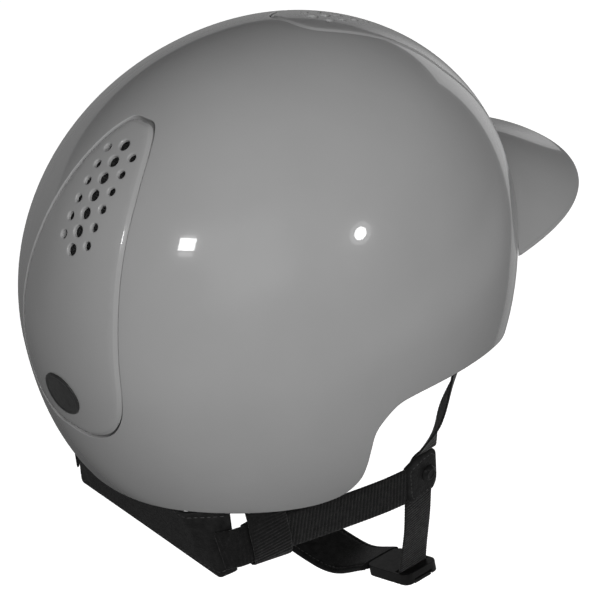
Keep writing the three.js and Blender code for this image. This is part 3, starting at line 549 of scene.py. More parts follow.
def vent_net(name, panel, material):
    """Woven net in the shell's slot: the wires of a fine grid that follows the dome."""
    slot = slot_loop(panel["start"], panel["level"], panel["spot"])
    flat = map_side_view(slot.points)
    low, high = flat.min(0) + 1, flat.max(0) - 1
    across = np.arange(low[0], high[0], NET_PITCH)
    along = np.arange(low[1], high[1], NET_PITCH)
    points, numbers = [], {}
    for i, x in enumerate(across):
        for j, travel in enumerate(along):
            turn = travel / MEAN_RADIUS
            spot = onto_dome(MEAN_RADIUS * np.array([[x / MEAN_RADIUS, math.cos(turn), math.sin(turn)]]))
            spot = spot * [0, 1, 1] + [[x, 0, 0]]
            spot = onto_dome(spot)
            if within(spot, slot.points, map_side_view)[0]:
                numbers[i, j] = len(points)
                points.append(under(spot, NET_DEPTH)[0])
    faces = []
    for i, j in numbers:
        corners = [(i, j), (i + 1, j), (i + 1, j + 1), (i, j + 1)]
        if all(corner in numbers for corner in corners):
            faces.append([numbers[corner] for corner in corners])
    item = mesh_piece(name, points, faces, material)
    wires = item.modifiers.new("wires", "WIREFRAME")
    wires.thickness = NET_WIRE * MM
    return item


def rear_badge(material):
    """Plain oval badge with a raised border, on the lower part of the rear panel."""
    skin = Skin()
    turns = np.linspace(0, 2 * math.pi, 72, endpoint=False)
    ring = rear_spot(BADGE_X + BADGE_HALF_WIDTH * np.cos(turns), BADGE_HALF_HEIGHT * np.sin(turns))
    border = Loop(ring, rear_spot(np.array(BADGE_X), np.array(0.0)))
    profile = [[-2.6, -BADGE_FACE], [-2.1, -BADGE_FACE], [-1.8, -0.78], [-1.55, -0.98], [-1.2, -1.05],
               [-0.8, -1.03], [-0.35, -0.88], [-0.08, -0.6], [0, -GAP]]
    rings = border.follow(skin, profile)
    skin.strips(rings)
    grid = dome_grid(1.2)
    grid = grid[within(grid, skin.points[rings[0]], map_side_view) & (grid[:, 1] > 0)]
    grid = clear_of(grid, [skin.points[rings[0]]], 0.9)
    face = skin.add(under(grid, -BADGE_FACE), dome_normal(grid))
    back = skin.add(under(grid, -GAP), -dome_normal(grid))
    skin.fill([rings[0]], face, map_side_view)
    skin.fill([rings[-1]], back, map_side_view)
    return skin.piece("oval_badge", material)


# ---- peak ---------------------------------------------------------------------------------------------


def loft(name, sections, material, sharp_angle=180):
    """Closed body through sections, each a ring of equally many points."""
    points = np.concatenate(sections)
    number = np.arange(len(points)).reshape(len(sections), -1)
    faces = [number[0], number[-1]]
    for row, other in zip(number, number[1:]):
        faces += band(row, other)
    return mesh_piece(name, points, faces, material, sharp_angle)


def peak_edge(angle, inset):
    """Edge of the peak in plan at an angle from the wearer's left, drawn in by an inset, and its height."""
    bend = 2 / PEAK_PLAN_POWER
    half_width, depth = PEAK_HALF_WIDTH - inset, PEAK_ROOT_Y - PEAK_TIP_Y - inset
    x = half_width * np.sign(math.cos(angle)) * abs(math.cos(angle)) ** bend
    y = PEAK_ROOT_Y - depth * max(0, math.sin(angle)) ** bend
    return x, y


def peak_section(angle, across, round_steps):
    """One section of the peak: out along the top, round the edge and back underneath."""
    radius = PEAK_EDGE_THICKNESS / 2
    x, y = peak_edge(angle, radius)
    full_x, full_y = peak_edge(angle, 0)
    share = min(1, abs(x) / (PEAK_HALF_WIDTH - radius))
    edge_z = PEAK_EDGE_HEIGHT + PEAK_EDGE_RISE * (1 - share ** PEAK_EDGE_POWER)
    top, bottom = [], []
    for out in across:
        extra = (PEAK_ROOT_THICKNESS - PEAK_EDGE_THICKNESS) * (1 - out) ** 4 * (1 - share ** 6)
        for drop, side in ((0, top), (PEAK_EDGE_THICKNESS + extra, bottom)):
            root_z = PEAK_EDGE_HEIGHT + PEAK_ROOT_RISE * (1 - share ** PEAK_ROOT_POWER) - drop
            root = np.array([x, -half_depth(x, root_z, -GAP), root_z])
            edge = np.array([x, y, edge_z - drop])
            point = root + (edge - root) * out
            point[2] += PEAK_CROWN * math.sin(out * math.pi) * (1 - share ** 2)
            side.append(point)
    step = np.array([full_x - x, full_y - y, 0])
    middle = np.array([x, y, edge_z - radius])
    turns = np.linspace(0, math.pi, round_steps + 2)[1:-1]
    rounding = [middle + step * math.sin(t) + np.array([0, 0, radius * math.cos(t)]) for t in turns]
    return np.array(top + rounding + bottom[::-1])


def peak(material):
    columns, rows = 150, 30
    turns = np.linspace(0.012, math.pi - 0.012, columns)
    across = np.linspace(0, 1, rows)
    return loft("peak_visor", [peak_section(t, across, 7) for t in turns], material, 50)


# ---- ribbons, cushions and plates ---------------------------------------------------------------------

RIB_PITCH = 2.0
RIB_HEIGHT = 0.3


def curve(points, count):
    """Centripetal Catmull-Rom curve through points in space, with evenly many samples between them."""
    points = np.array(points, float)
    padded = np.vstack([2 * points[0] - points[1], points, 2 * points[-1] - points[-2]])
    places = np.linspace(0, len(points) - 1, count)
    first = np.minimum(places.astype(int), len(points) - 2)
    t = (places - first)[:, None]
    p0, p1, p2, p3 = (padded[first + k] for k in range(4))
    d0, d1, d2 = (np.maximum(np.linalg.norm(b - a, axis=1, keepdims=True), 1e-6) ** 0.5
                  for a, b in ((p0, p1), (p1, p2), (p2, p3)))
    m1 = ((p1 - p0) / d0 - (p2 - p0) / (d0 + d1) + (p2 - p1) / d1) * d1
    m2 = ((p2 - p1) / d1 - (p3 - p1) / (d1 + d2) + (p3 - p2) / d2) * d1
    return p1 + m1 * t + (3 * p2 - 3 * p1 - 2 * m1 - m2) * t ** 2 + (2 * p1 - 2 * p2 + m1 + m2) * t ** 3


def rounded_section(sides, corner):
    """Shares of half width and half thickness round a section; a smaller corner is squarer."""
    turns = (np.arange(sides) + 0.5) * 2 * math.pi / sides
    cosine, sine = np.cos(turns), np.sin(turns)
    return np.sign(cosine) * np.abs(cosine) ** corner, np.sign(sine) * np.abs(sine) ** (corner * 1.6)


def right_side(points):
    """Mirrors points of the wearer's right side to the left."""
    return np.asarray(points) * [-1, 1, 1]


def webbing(name, stations, width, thickness, material, mirror=False, round_end=0):
    """Woven strap through stations of [centre, width direction], ribbed from edge to edge."""
    line = curve([centre for centre, _ in stations], 800)
    widths = curve([across for _, across in stations], 800)
    if mirror:
        line, widths = right_side(line), right_side(widths)
    travel = travel_along(line)
    places = np.arange(0.05, travel[-1], RIB_PITCH / 6)
    centres = respace(line, places)
    across = respace(widths, places, travel)
    along = unit(np.gradient(centres, axis=0))
    across = unit(across - (across * along).sum(-1, keepdims=True) * along)
    outward = np.cross(along, across)
    half_widths = np.full(len(places), width / 2)
    if round_end:
        left = np.clip(1 - places / round_end, 0, 1)
        half_widths = np.maximum(half_widths * np.sqrt(1 - left ** 2), 0.5)
    side, face = rounded_section(30, 0.3)
    lift = RIB_HEIGHT * (np.abs(np.sin(math.pi * places / RIB_PITCH)) ** 0.7 - 1)
    half_depths = thickness / 2 + lift
    sections = (centres[:, None] + across[:, None] * side[:, None] * half_widths[:, None, None]
                + outward[:, None] * face[:, None] * half_depths[:, None, None])
    return loft(name, list(sections), material, 75)


def two_faced(name, front, back, material, ring=False, sharp_angle=180):
    """Closed body between two grids of points, with sides along the border; a ring closes on itself."""
    columns, rows = front.shape[:2]
    number = np.arange(columns * rows).reshape(columns, rows)
    if ring:
        number = np.vstack([number, number[:1]])
    other = number + columns * rows
    faces = []
    for side in (number, other):
        for row, following in zip(side, side[1:]):
            faces += band(row, following, closed=False)
    for j in (0, -1):
        faces += band(number[:, j], other[:, j], closed=False)
        if not ring:
            faces += band(number[j], other[j], closed=False)
    points = np.vstack([front.reshape(-1, 3), back.reshape(-1, 3)])
    return mesh_piece(name, points, faces, material, sharp_angle, merge=True)


class Plate:
    """Flat outline with holes, given thickness and rounded edges, then set in place."""

    def __init__(self, outline, thickness, radius, holes=()):
        self.skin = Skin()
        self.half = thickness / 2
        tops, bottoms = [], []
        for loop, side in [(outline, 1)] + [(hole, -1) for hole in holes]:
            rings = self.wall(np.array(loop, float), radius, side)
            tops.append(rings[0])
            bottoms.append(rings[-1])
        none = np.empty(0, int)
        self.skin.fill(tops, none, lambda points: points[:, :2])
        self.skin.fill(bottoms, none, lambda points: points[:, :2])

    def wall(self, loop, radius, side):
        """Rings down an edge, rounded at both ends, for an outline (side 1) or a hole (side -1)."""
        along = unit(np.roll(loop, -1, 0) - np.roll(loop, 1, 0))
        out = np.stack([along[:, 1], -along[:, 0]], -1)
        if ((loop - loop.mean(0)) * out).sum() < 0:
            out = -out
        rings = []
        quarter = np.linspace(0, math.pi / 2, 4)
        profile = [(1 - math.sin(t), math.cos(t)) for t in quarter]
        for inset, height in profile + [(inset, -height) for inset, height in profile[::-1]]:
            level = math.copysign(self.half - radius * (1 - abs(height)), height)
            if abs(height) < 1e-9:
                level = 0
            spots = loop - out * side * radius * inset
            points = np.column_stack([spots, np.full(len(spots), level)])
            rings.append(self.skin.add(points, np.zeros_like(points)))
        self.skin.strips(rings)
        return rings

    def piece(self, name, material, origin, right, up):
        right, up = unit(np.array(right, float)), unit(np.array(up, float))
        axes = np.stack([right, up, np.cross(right, up)])
        points = self.skin.points @ axes + np.array(origin, float)
        return mesh_piece(name, points, self.skin.faces, material, 50)


def rounded_rectangle(width, height, corner, steps=6):
    """Outline round the origin with a quarter circle at each corner."""
    outline = []
    for k, (sx, sy) in enumerate(((1, 1), (-1, 1), (-1, -1), (1, -1))):
        middle = np.array([sx * (width / 2 - corner), sy * (height / 2 - corner)])
        for turn in np.linspace(k * math.pi / 2, (k + 1) * math.pi / 2, steps):
            outline.append(middle + corner * np.array([math.cos(turn), math.sin(turn)]))
    return np.array(outline)


def circle(radius, sides=32):
    turns = np.linspace(0, 2 * math.pi, sides, endpoint=False)
    return radius * np.column_stack([np.cos(turns), np.sin(turns)])


def turned(name, profile, origin, axis, material, sides=48):
    """Lathe-turned body from a profile of [radius, distance along the axis]."""
    axis = unit(np.array(axis, float))
    across, along = square_to(axis)
    turns = np.linspace(0, 2 * math.pi, sides, endpoint=False)
    spokes = np.cos(turns)[:, None] * across + np.sin(turns)[:, None] * along
    grid = np.array([[np.array(origin) + spoke * radius + axis * rise for radius, rise in profile]
                     for spoke in spokes])
    number = np.arange(sides * len(profile)).reshape(sides, -1)
    faces = []
    for row, other in zip(number, np.roll(number, -1, 0)):
        faces += band(row, other, closed=False)
    return mesh_piece(name, grid.reshape(-1, 3), faces, material, 40, merge=True)


def thread(name, rows, material, pitch=3.0, radius=0.26):
    """Sewing thread: a row of short rounded stitches along each line of points."""
    sides, rings = 6, 5
    tilt = np.linspace(0, math.pi, rings)
    turns = np.linspace(0, 2 * math.pi, sides, endpoint=False)
    points, faces = [], []
    for row in rows:
        row = np.array(row, float)
        length = travel_along(row)[-1]
        count = max(1, int(length / pitch))
        starts = respace(row, (np.arange(count) + 0.14) * length / count)
        ends = respace(row, (np.arange(count) + 0.86) * length / count)
        for start, end in zip(starts, ends):
            along = (end - start) / 2
            across = unit(np.cross(along, [0.31, 0.52, 0.79]))
            upward = unit(np.cross(along, across))
            number = len(points) + np.arange(rings * sides).reshape(rings, sides)
            spokes = np.cos(turns)[:, None] * across + np.sin(turns)[:, None] * upward
            for a in tilt:
                middle = (start + end) / 2 - along * math.cos(a)
                points += list(middle + spokes * radius * math.sin(a) ** 0.5)
            for ring, other in zip(number, number[1:]):
                faces += band(ring, other)
    return mesh_piece(name, points, faces, material, merge=True)


def softened(name, node, width, material):
    """Copy of a hard CAD part with its edges rounded off."""
    mesh = frame["nodes"][node].data.copy()
    mesh.name = name
    shape = bmesh.new()
    shape.from_mesh(mesh)
    bmesh.ops.remove_doubles(shape, verts=shape.verts, dist=0.002 * MM)
    bmesh.ops.dissolve_limit(shape, angle_limit=math.radians(2), verts=shape.verts, edges=shape.edges)
    shape.to_mesh(mesh)
    shape.free()
    if mesh.has_custom_normals:
        mesh.attributes.remove(mesh.attributes["custom_normal"])
    mesh.shade_smooth()
    mesh.set_sharp_from_angle(angle=math.radians(40))
    mesh.materials.clear()
    mesh.materials.append(material)
    item = bpy.data.objects.new(name, mesh)
    bpy.context.scene.collection.objects.link(item)
    bevel = item.modifiers.new("rounded edges", "BEVEL")
    bevel.width = width * MM
    bevel.segments = 3
    bevel.limit_method = "ANGLE"
    bevel.angle_limit = math.radians(35)
    bevel.harden_normals = True
    return item


# ---- liner and pads -----------------------------------------------------------------------------------

LINER_OUTER_INSET = 4.6
LINER_INNER_INSET = 24
PAD_OUTER_INSET = 25.6
PAD_INNER_INSET = 31
RIM_SETBACK = 2
AIR_HOLE_RADIUS = 6
AIR_HOLE_REACH = 30
CROWN_PAD_BOTTOM = 66


def rim_height(bearings):
    """Height of the rim at bearings in radians, the same on both sides."""
    points = rim_loop(4).points
    left = points[points[:, 0] > 0]
    turns = np.arctan2(left[:, 1], left[:, 0])
    order = np.argsort(turns)
    return np.interp(np.arcsin(np.sin(bearings)), turns[order], left[order, 2])


def carve(item, cutters):
    """Takes cutter objects out of a mesh for good."""
    for cutter in cutters:
        cut = item.modifiers.new("cut", "BOOLEAN")
        cut.operation = "DIFFERENCE"
        cut.object = cutter
    graph = bpy.context.evaluated_depsgraph_get()
    carved = bpy.data.meshes.new_from_object(item.evaluated_get(graph))
    item.modifiers.clear()
    item.data = carved
    for cutter in cutters:
        bpy.data.objects.remove(cutter)
    carved.shade_smooth()
    carved.set_sharp_from_angle(angle=math.radians(40))


def shock_liner(material):
    """Moulded bead-foam liner, with notches for the strap anchors and an air hole under each panel."""
    points = rim_loop(5).points
    bearings, heights = np.arctan2(points[:, 1], points[:, 0]), points[:, 2] + RIM_SETBACK
    rows = 36

    def surface(inset):
        share = np.linspace(0, 1, rows)[None]
        lowest = np.arcsin(heights / (LOWER_HEIGHT - inset))[:, None]
        rise = lowest + (math.pi / 2 - lowest) * share
        z = (np.where(rise < 0, LOWER_HEIGHT, CROWN_HEIGHT) - inset) * np.sin(rise)
        return dome_point(np.broadcast_to(bearings[:, None], z.shape), z, inset)

    liner = two_faced("liner", surface(LINER_OUTER_INSET), surface(LINER_INNER_INSET), material, ring=True)
    cutters = []
    for x, y, z, out_x, out_y, depth, height in NOTCHES:
        for side in (1, -1):
            out = np.array([out_x * side, out_y, 0])
            block = Plate(rounded_rectangle(WEBBING_WIDTH + 6, height, 3), depth, 0.5)
            cutters.append(block.piece("cutter", material, [x * side, y, z], [-out[1], out[0], 0],
                                       [0, 0, 1]))
    for panel in PANELS.values():
        middle = on_centre_line(panel["start"] + (LARGE_VENT_COUNT - 1) / 2 * VENT_PITCH)
        axis = dome_normal(middle)
        profile = [[0, -AIR_HOLE_REACH], [AIR_HOLE_RADIUS, -AIR_HOLE_REACH],
                   [AIR_HOLE_RADIUS, AIR_HOLE_REACH], [0, AIR_HOLE_REACH]]
        cutters.append(turned("cutter", profile, middle, axis, material))
    carve(liner, cutters)
    return liner


def cushion(name, spot, columns, rows, seams, material, ring=False):
    """Crowned pad: spot(u, v, lift) gives its points; it is pinched along its border and its seams."""
    u = np.linspace(0, 1, columns, endpoint=not ring)[:, None] + np.zeros((1, rows))
    v = np.linspace(0, 1, rows)[None] + np.zeros((columns, 1))
    lift = (1 - np.abs(2 * v - 1) ** 6) ** 0.45 if not ring else (1 - (1 - v) ** 8) ** 0.45
    if not ring:
        lift = lift * (1 - np.abs(2 * u - 1) ** 24) ** 0.45
    for along, place, width in seams:
        gap = (u if along == "u" else v) - place
        lift = lift * (1 - 0.55 * np.exp(-(gap / width) ** 2))
    return two_faced(name, spot(u, v, 0.06 + 0.94 * lift), spot(u, v, 0 * lift), material, ring)


def pad_inset(rise):
    """Inset of a pad's surface from the dome, for its rise from the liner (0) to its crown (1)."""
    return PAD_OUTER_INSET + (PAD_INNER_INSET - PAD_OUTER_INSET) * rise


def comfort_pad(name, start, end, lift, top, material):
    """Pad on the liner between two bearings, from a lift above the rim up to a height."""

    def spot(u, v, rise):
        bearing = np.radians(start + (end - start) * u)
        low = rim_height(bearing) + lift
        columns = zip(bearing, low + (top - low) * v, pad_inset(rise))
        return np.array([dome_point(b, z, inset) for b, z, inset in columns])

    count = int((end - start) // 16)
    seams = [("u", k / count, 0.012) for k in range(1, count)]
    return cushion(name, spot, 120, 26, seams, material)


def crown_pad(material):
    """Round pad on the liner's crown, sewn in eight sectors and a ring."""

    def spot(u, v, rise):
        inset = pad_inset(rise)
        z = CROWN_PAD_BOTTOM + (CROWN_HEIGHT - inset - CROWN_PAD_BOTTOM) * np.sin(v * math.pi / 2)
        return np.array([dome_point(b, h, i) for b, h, i in zip(u * 2 * math.pi, z, inset)])

    seams = [("u", k / 8, 0.006) for k in range(1, 8)] + [("v", 0.55, 0.02)]
    return cushion("top_pad", spot, 160, 40, seams, material, ring=True)


# ---- harness ------------------------------------------------------------------------------------------

WEBBING_WIDTH = 20
WEBBING_THICKNESS = 1.6
REAR_STRAP_WIDTH = 22
JUNCTION = np.array([-82, -10, -98])
JUNCTION_THICKNESS = 3.6
LOOP_Y = -8.5
CHIN_STRAP_X = -78.2
STRAP_SLOPE = 0.1167
CHIN_PAD_WIDTH = 32
CHIN_PAD_END_WIDTH = 28
CHIN_PAD_THICKNESS = 4
CHIN_PAD_SEAM = 0.82
STRAIGHT_ACROSS = np.array([0, 1, 0])

# The buckle's own axes: X from its outer tip inwards, Y across it, Z towards the chin.
BUCKLE_TIP = np.array([-77.5, LOOP_Y, -171.5])
BUCKLE_TILT = 0.33
BUCKLE_ROLL = 0.175
BUCKLE_TURN = np.array(Matrix.Rotation(BUCKLE_TILT, 3, "Y") @ Matrix.Rotation(BUCKLE_ROLL, 3, "X"))
BUCKLE_ACROSS = BUCKLE_TURN[:, 1]
STRAP_IN_BUCKLE = BUCKLE_TIP + BUCKLE_TURN @ (8.1, 0, 1.4)
TONGUE_END = BUCKLE_TIP + BUCKLE_TURN @ (33.3, 0, 1)

# Notches in the liner for the strap anchors: x, y, z, outward x and y, depth and height.
NOTCHES = [[-95, -25, -18, -0.95, -0.3, 10, 34], [-69, 80.5, -52, -0.81, 0.58, 16, 40],
           [-28, 112, -50, -0.17, 0.98, 14, 32]]

# Straps on the wearer's right: [centre, width direction].
FRONT_STRAP = [
    [[-95.5, -25.5, -8], [0.3, -1, 0]], [[-95.3, -25, -26], [0.35, -1, 0]],
    [[-92.5, -22.5, -43], [0.5, -1, 0.1]], [[-88, -18, -62], [0.75, -1, 0.2]],
    [[-84.3, -13, -78], [0.25, -1, 0.1]], [[-82.4, -11, -85.2], [0, -1, 0]],
]
REAR_STRAP = [
    [[-55.3, 103, -84.5], [-0.25, -0.1, -1]], [[-60.2, 97.6, -83.5], [-0.2, -0.15, -1]],
    [[-66.9, 72, -87.5], [0, -0.25, -1]], [[-72.3, 48, -92.3], [0, -0.2, -1]],
    [[-79.3, 18, -97], [0, -0.1, -1]], [[-82, 4.4, -98.5], [0, 0, -1]],
]
AT_SHELL, AT_STRAP = [-0.58, -0.81, 0], [-0.22, -0.95, -0.2]
REAR_LOOP = [
    [[-70.5, 80.3, -36], AT_SHELL], [[-70.5, 80.3, -50], AT_SHELL], [[-65.9, 80.5, -63], AT_SHELL],
    [[-68, 82.5, -73], AT_STRAP], [[-68.6, 82, -90], AT_STRAP], [[-66.6, 81.6, -97.6], AT_STRAP],
    [[-63.2, 81.4, -97.2], AT_STRAP], [[-61.7, 81.6, -91], AT_STRAP], [[-61.9, 82.4, -73], AT_STRAP],
]
NAPE_TAB = [[[-28, 113.4, -40], [-0.98, -0.2, 0]], [[-28, 111.6, -54], [-0.98, -0.2, 0]],
            [[-28, 109.2, -62.6], [-0.98, -0.2, 0]]]
CHIN_STRAP_TOP = [[[CHIN_STRAP_X, -10, z], STRAIGHT_ACROSS] for z in (-88.1, -94, -100)]
CHIN_STRAP_RIGHT = CHIN_STRAP_TOP + [
    [[CHIN_STRAP_X, LOOP_Y, -110], STRAIGHT_ACROSS], [[-75.6, LOOP_Y, -136], STRAIGHT_ACROSS],
    [[-71.6, LOOP_Y, -160], [0.03, 1, 0.08]], [STRAP_IN_BUCKLE, BUCKLE_ACROSS],
]
CHIN_STRAP_LEFT = CHIN_STRAP_TOP + [
    *[[[CHIN_STRAP_X - STRAP_SLOPE * (z + 106), LOOP_Y, z], STRAIGHT_ACROSS]
      for z in (-108, -120, -132, -144, -156)],
    [[-67.5, LOOP_Y, -171], STRAIGHT_ACROSS], [[-55.4, LOOP_Y, -183.2], STRAIGHT_ACROSS],
]

# Nape pad on the wearer's right, from its wing's front edge over its fold to the middle of the back.
NAPE_BOTTOM = [[-60, 98.4, -98], [-54, 104.8, -101.9], [0, 104.8, -101.9]]
NAPE_TOP = [[-57, 95, -64], [-42, 110.8, -63.2], [0, 110.8, -63.2]]
NAPE_INWARD = [[0.75, -0.65, -0.13], [0.45, -0.87, -0.15], [0, -0.99, -0.15]]
NAPE_THICKNESS = 3
NAPE_SEAMS = (0.09, 0.93)


def chin_strap(name, stations, material, mirror=False):
    """Strap with a round end on the junction's snap."""
    return webbing(name, stations, WEBBING_WIDTH, WEBBING_THICKNESS, material, mirror, round_end=10)


def nape_line(corners, count):
    """Line from wing to wing through the pad's corners, softened where it folds."""
    corners = np.array(corners, float)
    whole = np.vstack([corners, right_side(corners[1::-1])])
    line = respace(whole, np.linspace(0, travel_along(whole)[-1], 600))
    reach = 9  # samples averaged on each side
    padded = np.vstack([line[:1]] * reach + [line] + [line[-1:]] * reach)
    width = 2 * reach + 1
    smooth = np.array([padded[k:k + width].mean(0) for k in range(len(line))])
    smooth[:reach], smooth[-reach:] = line[:reach], line[-reach:]
    return smooth[np.linspace(0, len(line) - 1, count).astype(int)]


def nape_lines(count):
    """The pad's bottom and top lines, and the direction into it along them."""
    return (nape_line(NAPE_BOTTOM, count), nape_line(NAPE_TOP, count),
            unit(nape_line(NAPE_INWARD, count)))


def nape_pad(material):
    """Folded leather panel with rounded edges and a sewn groove along its bottom and top."""
    count = 160
    bottom, top, inward = nape_lines(count)
    up, depth = rounded_section(64, 0.22)
    height, sink = 0.5 + up / 2, 0.5 - depth / 2
    ends = np.clip(np.minimum(np.arange(count), np.arange(count)[::-1]) / 3, 0, 1)
    slim = 0.35 + 0.65 * np.sqrt(1 - (1 - ends) ** 2)
    groove = sum(0.25 * np.exp(-((height - seam) / 0.02) ** 2) for seam in NAPE_SEAMS)
    sections = []
    for low, high, inner, thin in zip(bottom, top, inward, slim):
        share = 0.5 + (sink - 0.5) * thin
        offset = share * NAPE_THICKNESS + np.where(depth > 0, groove, 0)
        sections.append(low + (high - low) * height[:, None] + inner * offset[:, None])
    return loft("nape_panel", sections, material)


def nape_stitches(material):
    bottom, top, inward = nape_lines(160)
    rows = [(bottom + (top - bottom) * height + inward * 0.12)[3:-3] for height in NAPE_SEAMS]
    return thread("nape_stitches", rows, material)


def quadratic(start, control, end, steps=8):
    t = np.linspace(0, 1, steps)[:, None]
    start, control, end = (np.array(p, float) for p in (start, control, end))
    return (1 - t) ** 2 * start + 2 * t * (1 - t) * control + t ** 2 * end


def junction_outline():
    corners = [
        quadratic((3, 12.2), (10, 11.4), (14, 10.2)),
        quadratic((14, -9), (13.6, -12.4), (10, -12.8)),
        quadratic((-3.5, -13), (-6.8, -11), (-7.2, -5)),
        quadratic((-7.4, 8), (-7, 11.6), (-4, 12.2)),
    ]
    return even_loop(np.vstack(corners), 0.885)


def junction_patch(name, side, material):
    """Sewn leather patch that joins the straps; side is 1 on the wearer's right and -1 on the left."""
    plate = Plate(junction_outline(), JUNCTION_THICKNESS, 1.1, [circle(2.4)])
    return plate.piece(name, material, JUNCTION * [side, 1, 1], [0, 1, 0], [0, 0, 1])


def junction_stitches(name, side, material):
    outline = junction_outline()
    inner = outline * 0.84 + outline.mean(0) * 0.16
    rows = []
    for face in (1, -1):
        x = JUNCTION[0] * side + face * JUNCTION_THICKNESS / 2
        row = np.column_stack([np.full(len(inner), x), inner + JUNCTION[1:]])
        rows.append(np.vstack([row, row[:1]]))
    return thread(name, rows, material, pitch=2.6, radius=0.24)


def junction_snap(name, side, material):
    """Snap rivet: domed cap with a raised ring outside, shank, and a flat washer inside."""
    outside = -JUNCTION_THICKNESS / 2 - GAP
    inside = CHIN_STRAP_X + WEBBING_THICKNESS / 2 + GAP - JUNCTION[0]
    profile = [
        [0, outside - 1.7], [1.2, outside - 1.75], [2, outside - 1.85], [2.3, outside - 2.1],
        [2.7, outside - 2.2], [3.1, outside - 2.05], [3.7, outside - 1.5], [4.1, outside - 0.8],
        [4.3, outside - 0.3], [4.2, outside], [2, outside], [2, inside], [3.8, inside],
        [4, inside + 0.2], [4, inside + 0.7], [3.7, inside + 0.95], [0, inside + 1.2],
    ]
    return turned(name, profile, JUNCTION * [side, 1, 1], [side, 0, 0], material)


def chin_pad_frame(count):
    """Centres, directions across and outwards, half width and half thickness along the chin pad."""
    centres = curve([[55.3, LOOP_Y, -183.4], [28, LOOP_Y, -195.5], [2, LOOP_Y, -198.5],
                     [-22, LOOP_Y, -196.3], TONGUE_END], count)
    t = np.linspace(0, 1, count)[:, None]
    swell = np.sqrt(np.sin(np.minimum(t, 0.5) * math.pi))
    taper = np.clip((t - 0.6) / 0.4, 0, 1)
    narrowing = (CHIN_PAD_WIDTH - CHIN_PAD_END_WIDTH) * taper ** 2 * (3 - 2 * taper)
    half_width = (WEBBING_WIDTH + (CHIN_PAD_WIDTH - WEBBING_WIDTH) * swell - narrowing) / 2
    half_thickness = (WEBBING_THICKNESS + (CHIN_PAD_THICKNESS - WEBBING_THICKNESS) * swell) / 2
    across = unit(STRAIGHT_ACROSS + (BUCKLE_ACROSS - STRAIGHT_ACROSS) * t ** 3)
    outward = unit(np.cross(np.gradient(centres, axis=0), across))
    return centres, across, outward, half_width, half_thickness


def chin_pad(material):
    """Padded leather guard under the chin, fuller in the middle than along its sewn edges."""
    side, face = rounded_section(64, 0.4)
    seam = 1 - 0.28 * np.exp(-((np.abs(side) - CHIN_PAD_SEAM) / 0.045) ** 2)
    sections = [centre + np.outer(side * wide, across) + np.outer(face * seam * deep, out)
                for centre, across, out, wide, deep in zip(*chin_pad_frame(120))]
    return loft("chin_guard", sections, material, 60)


def chin_pad_stitches(material):
    centres, across, outward, half_width, half_thickness = chin_pad_frame(120)
    rows = []
    for side in (1, -1):
        for face in (1, -1):
            row = centres + side * CHIN_PAD_SEAM * half_width * across
            row += face * 0.68 * half_thickness * outward
            rows.append(row[6:-6])
    return thread("chin_guard_stitches", rows, material)


# ---- materials ----------------------------------------------------------------------------------------


class Nodes:
    """A material's node tree, with short ways to add nodes and join them."""

    def __init__(self, name, **settings):
        self.material = bpy.data.materials.new(name)
        self.material.use_nodes = True
        self.tree = self.material.node_tree
        self.shader = self.tree.nodes["Principled BSDF"]
        self.set(self.shader, **settings)

    def set(self, node, **settings):
        for key, value in settings.items():
            node.inputs[key.replace("_", " ")].default_value = value

    def add(self, kind, **settings):
        node = self.tree.nodes.new("ShaderNode" + kind)
        inputs = {key: value for key, value in settings.items() if key.replace("_", " ") in node.inputs}
        self.set(node, **inputs)
        for key in settings.keys() - inputs.keys():
            setattr(node, key, settings[key])
        return node

    def join(self, output, target):
        self.tree.links.new(output, target)

    def place(self, stretch=(1, 1, 1)):
        """Position on the object, stretched along its axes."""
        mapping = self.add("Mapping", Scale=stretch)
        self.join(self.add("TexCoord").outputs["Object"], mapping.inputs["Vector"])
        return mapping.outputs["Vector"]

    def noise(self, scale, detail=2.0, stretch=(1, 1, 1)):
        node = self.add("TexNoise", Scale=scale, Detail=detail)
        self.join(self.place(stretch), node.inputs["Vector"])
        return node.outputs["Fac"]

    def cells(self, scale, feature="F1", stretch=(1, 1, 1)):
        node = self.add("TexVoronoi", Scale=scale, feature=feature)
        self.join(self.place(stretch), node.inputs["Vector"])
        return node.outputs["Distance"]

    def ramp(self, source, stops):
        """Grey for each position of a source value: stops of (position, grey)."""
        node = self.add("ValToRGB")
        self.join(source, node.inputs["Fac"])
        elements = node.color_ramp.elements
        while len(elements) < len(stops):
            elements.new(0.5)
        for element, (position, grey) in zip(elements, stops):
            element.position = position
            element.color = (grey, grey, grey, 1)
        return node.outputs["Color"]

    def bump(self, height, strength, distance):
        """Adds a bump over any that is there already; distance in metres."""
        node = self.add("Bump", Strength=strength, Distance=distance)
        self.join(height, node.inputs["Height"])
        before = self.shader.inputs["Normal"].links
        if before:
            self.join(before[0].from_socket, node.inputs["Normal"])
        self.join(node.outputs["Normal"], self.shader.inputs["Normal"])

    def colour(self, source):
        self.join(source, self.shader.inputs["Base Color"])

    def roughness(self, source):
        self.join(source, self.shader.inputs["Roughness"])

    def mottled(self, scale, detail, low, high):
        """Value that wanders between two greys over the surface."""
        return self.ramp(self.noise(scale, detail), [(0.3, low), (0.7, high)])


def lacquer(name, sheen_roughness, gloss):
    """Pigmented plastic under a hard gloss coat, with faint orange peel; gloss is the coat's weight."""
    nodes = Nodes(name, IOR=1.5, Specular_IOR_Level=0.22, Coat_Weight=gloss, Coat_Roughness=0.015)
    nodes.colour(nodes.mottled(22, 3, 0.255, 0.268))
    spread = nodes.ramp(nodes.noise(160, 4), [(0.35, sheen_roughness), (0.75, sheen_roughness + 0.05)])
    nodes.roughness(spread)
    nodes.bump(nodes.noise(420, 1), 0.03, 0.0004)
    return nodes.material


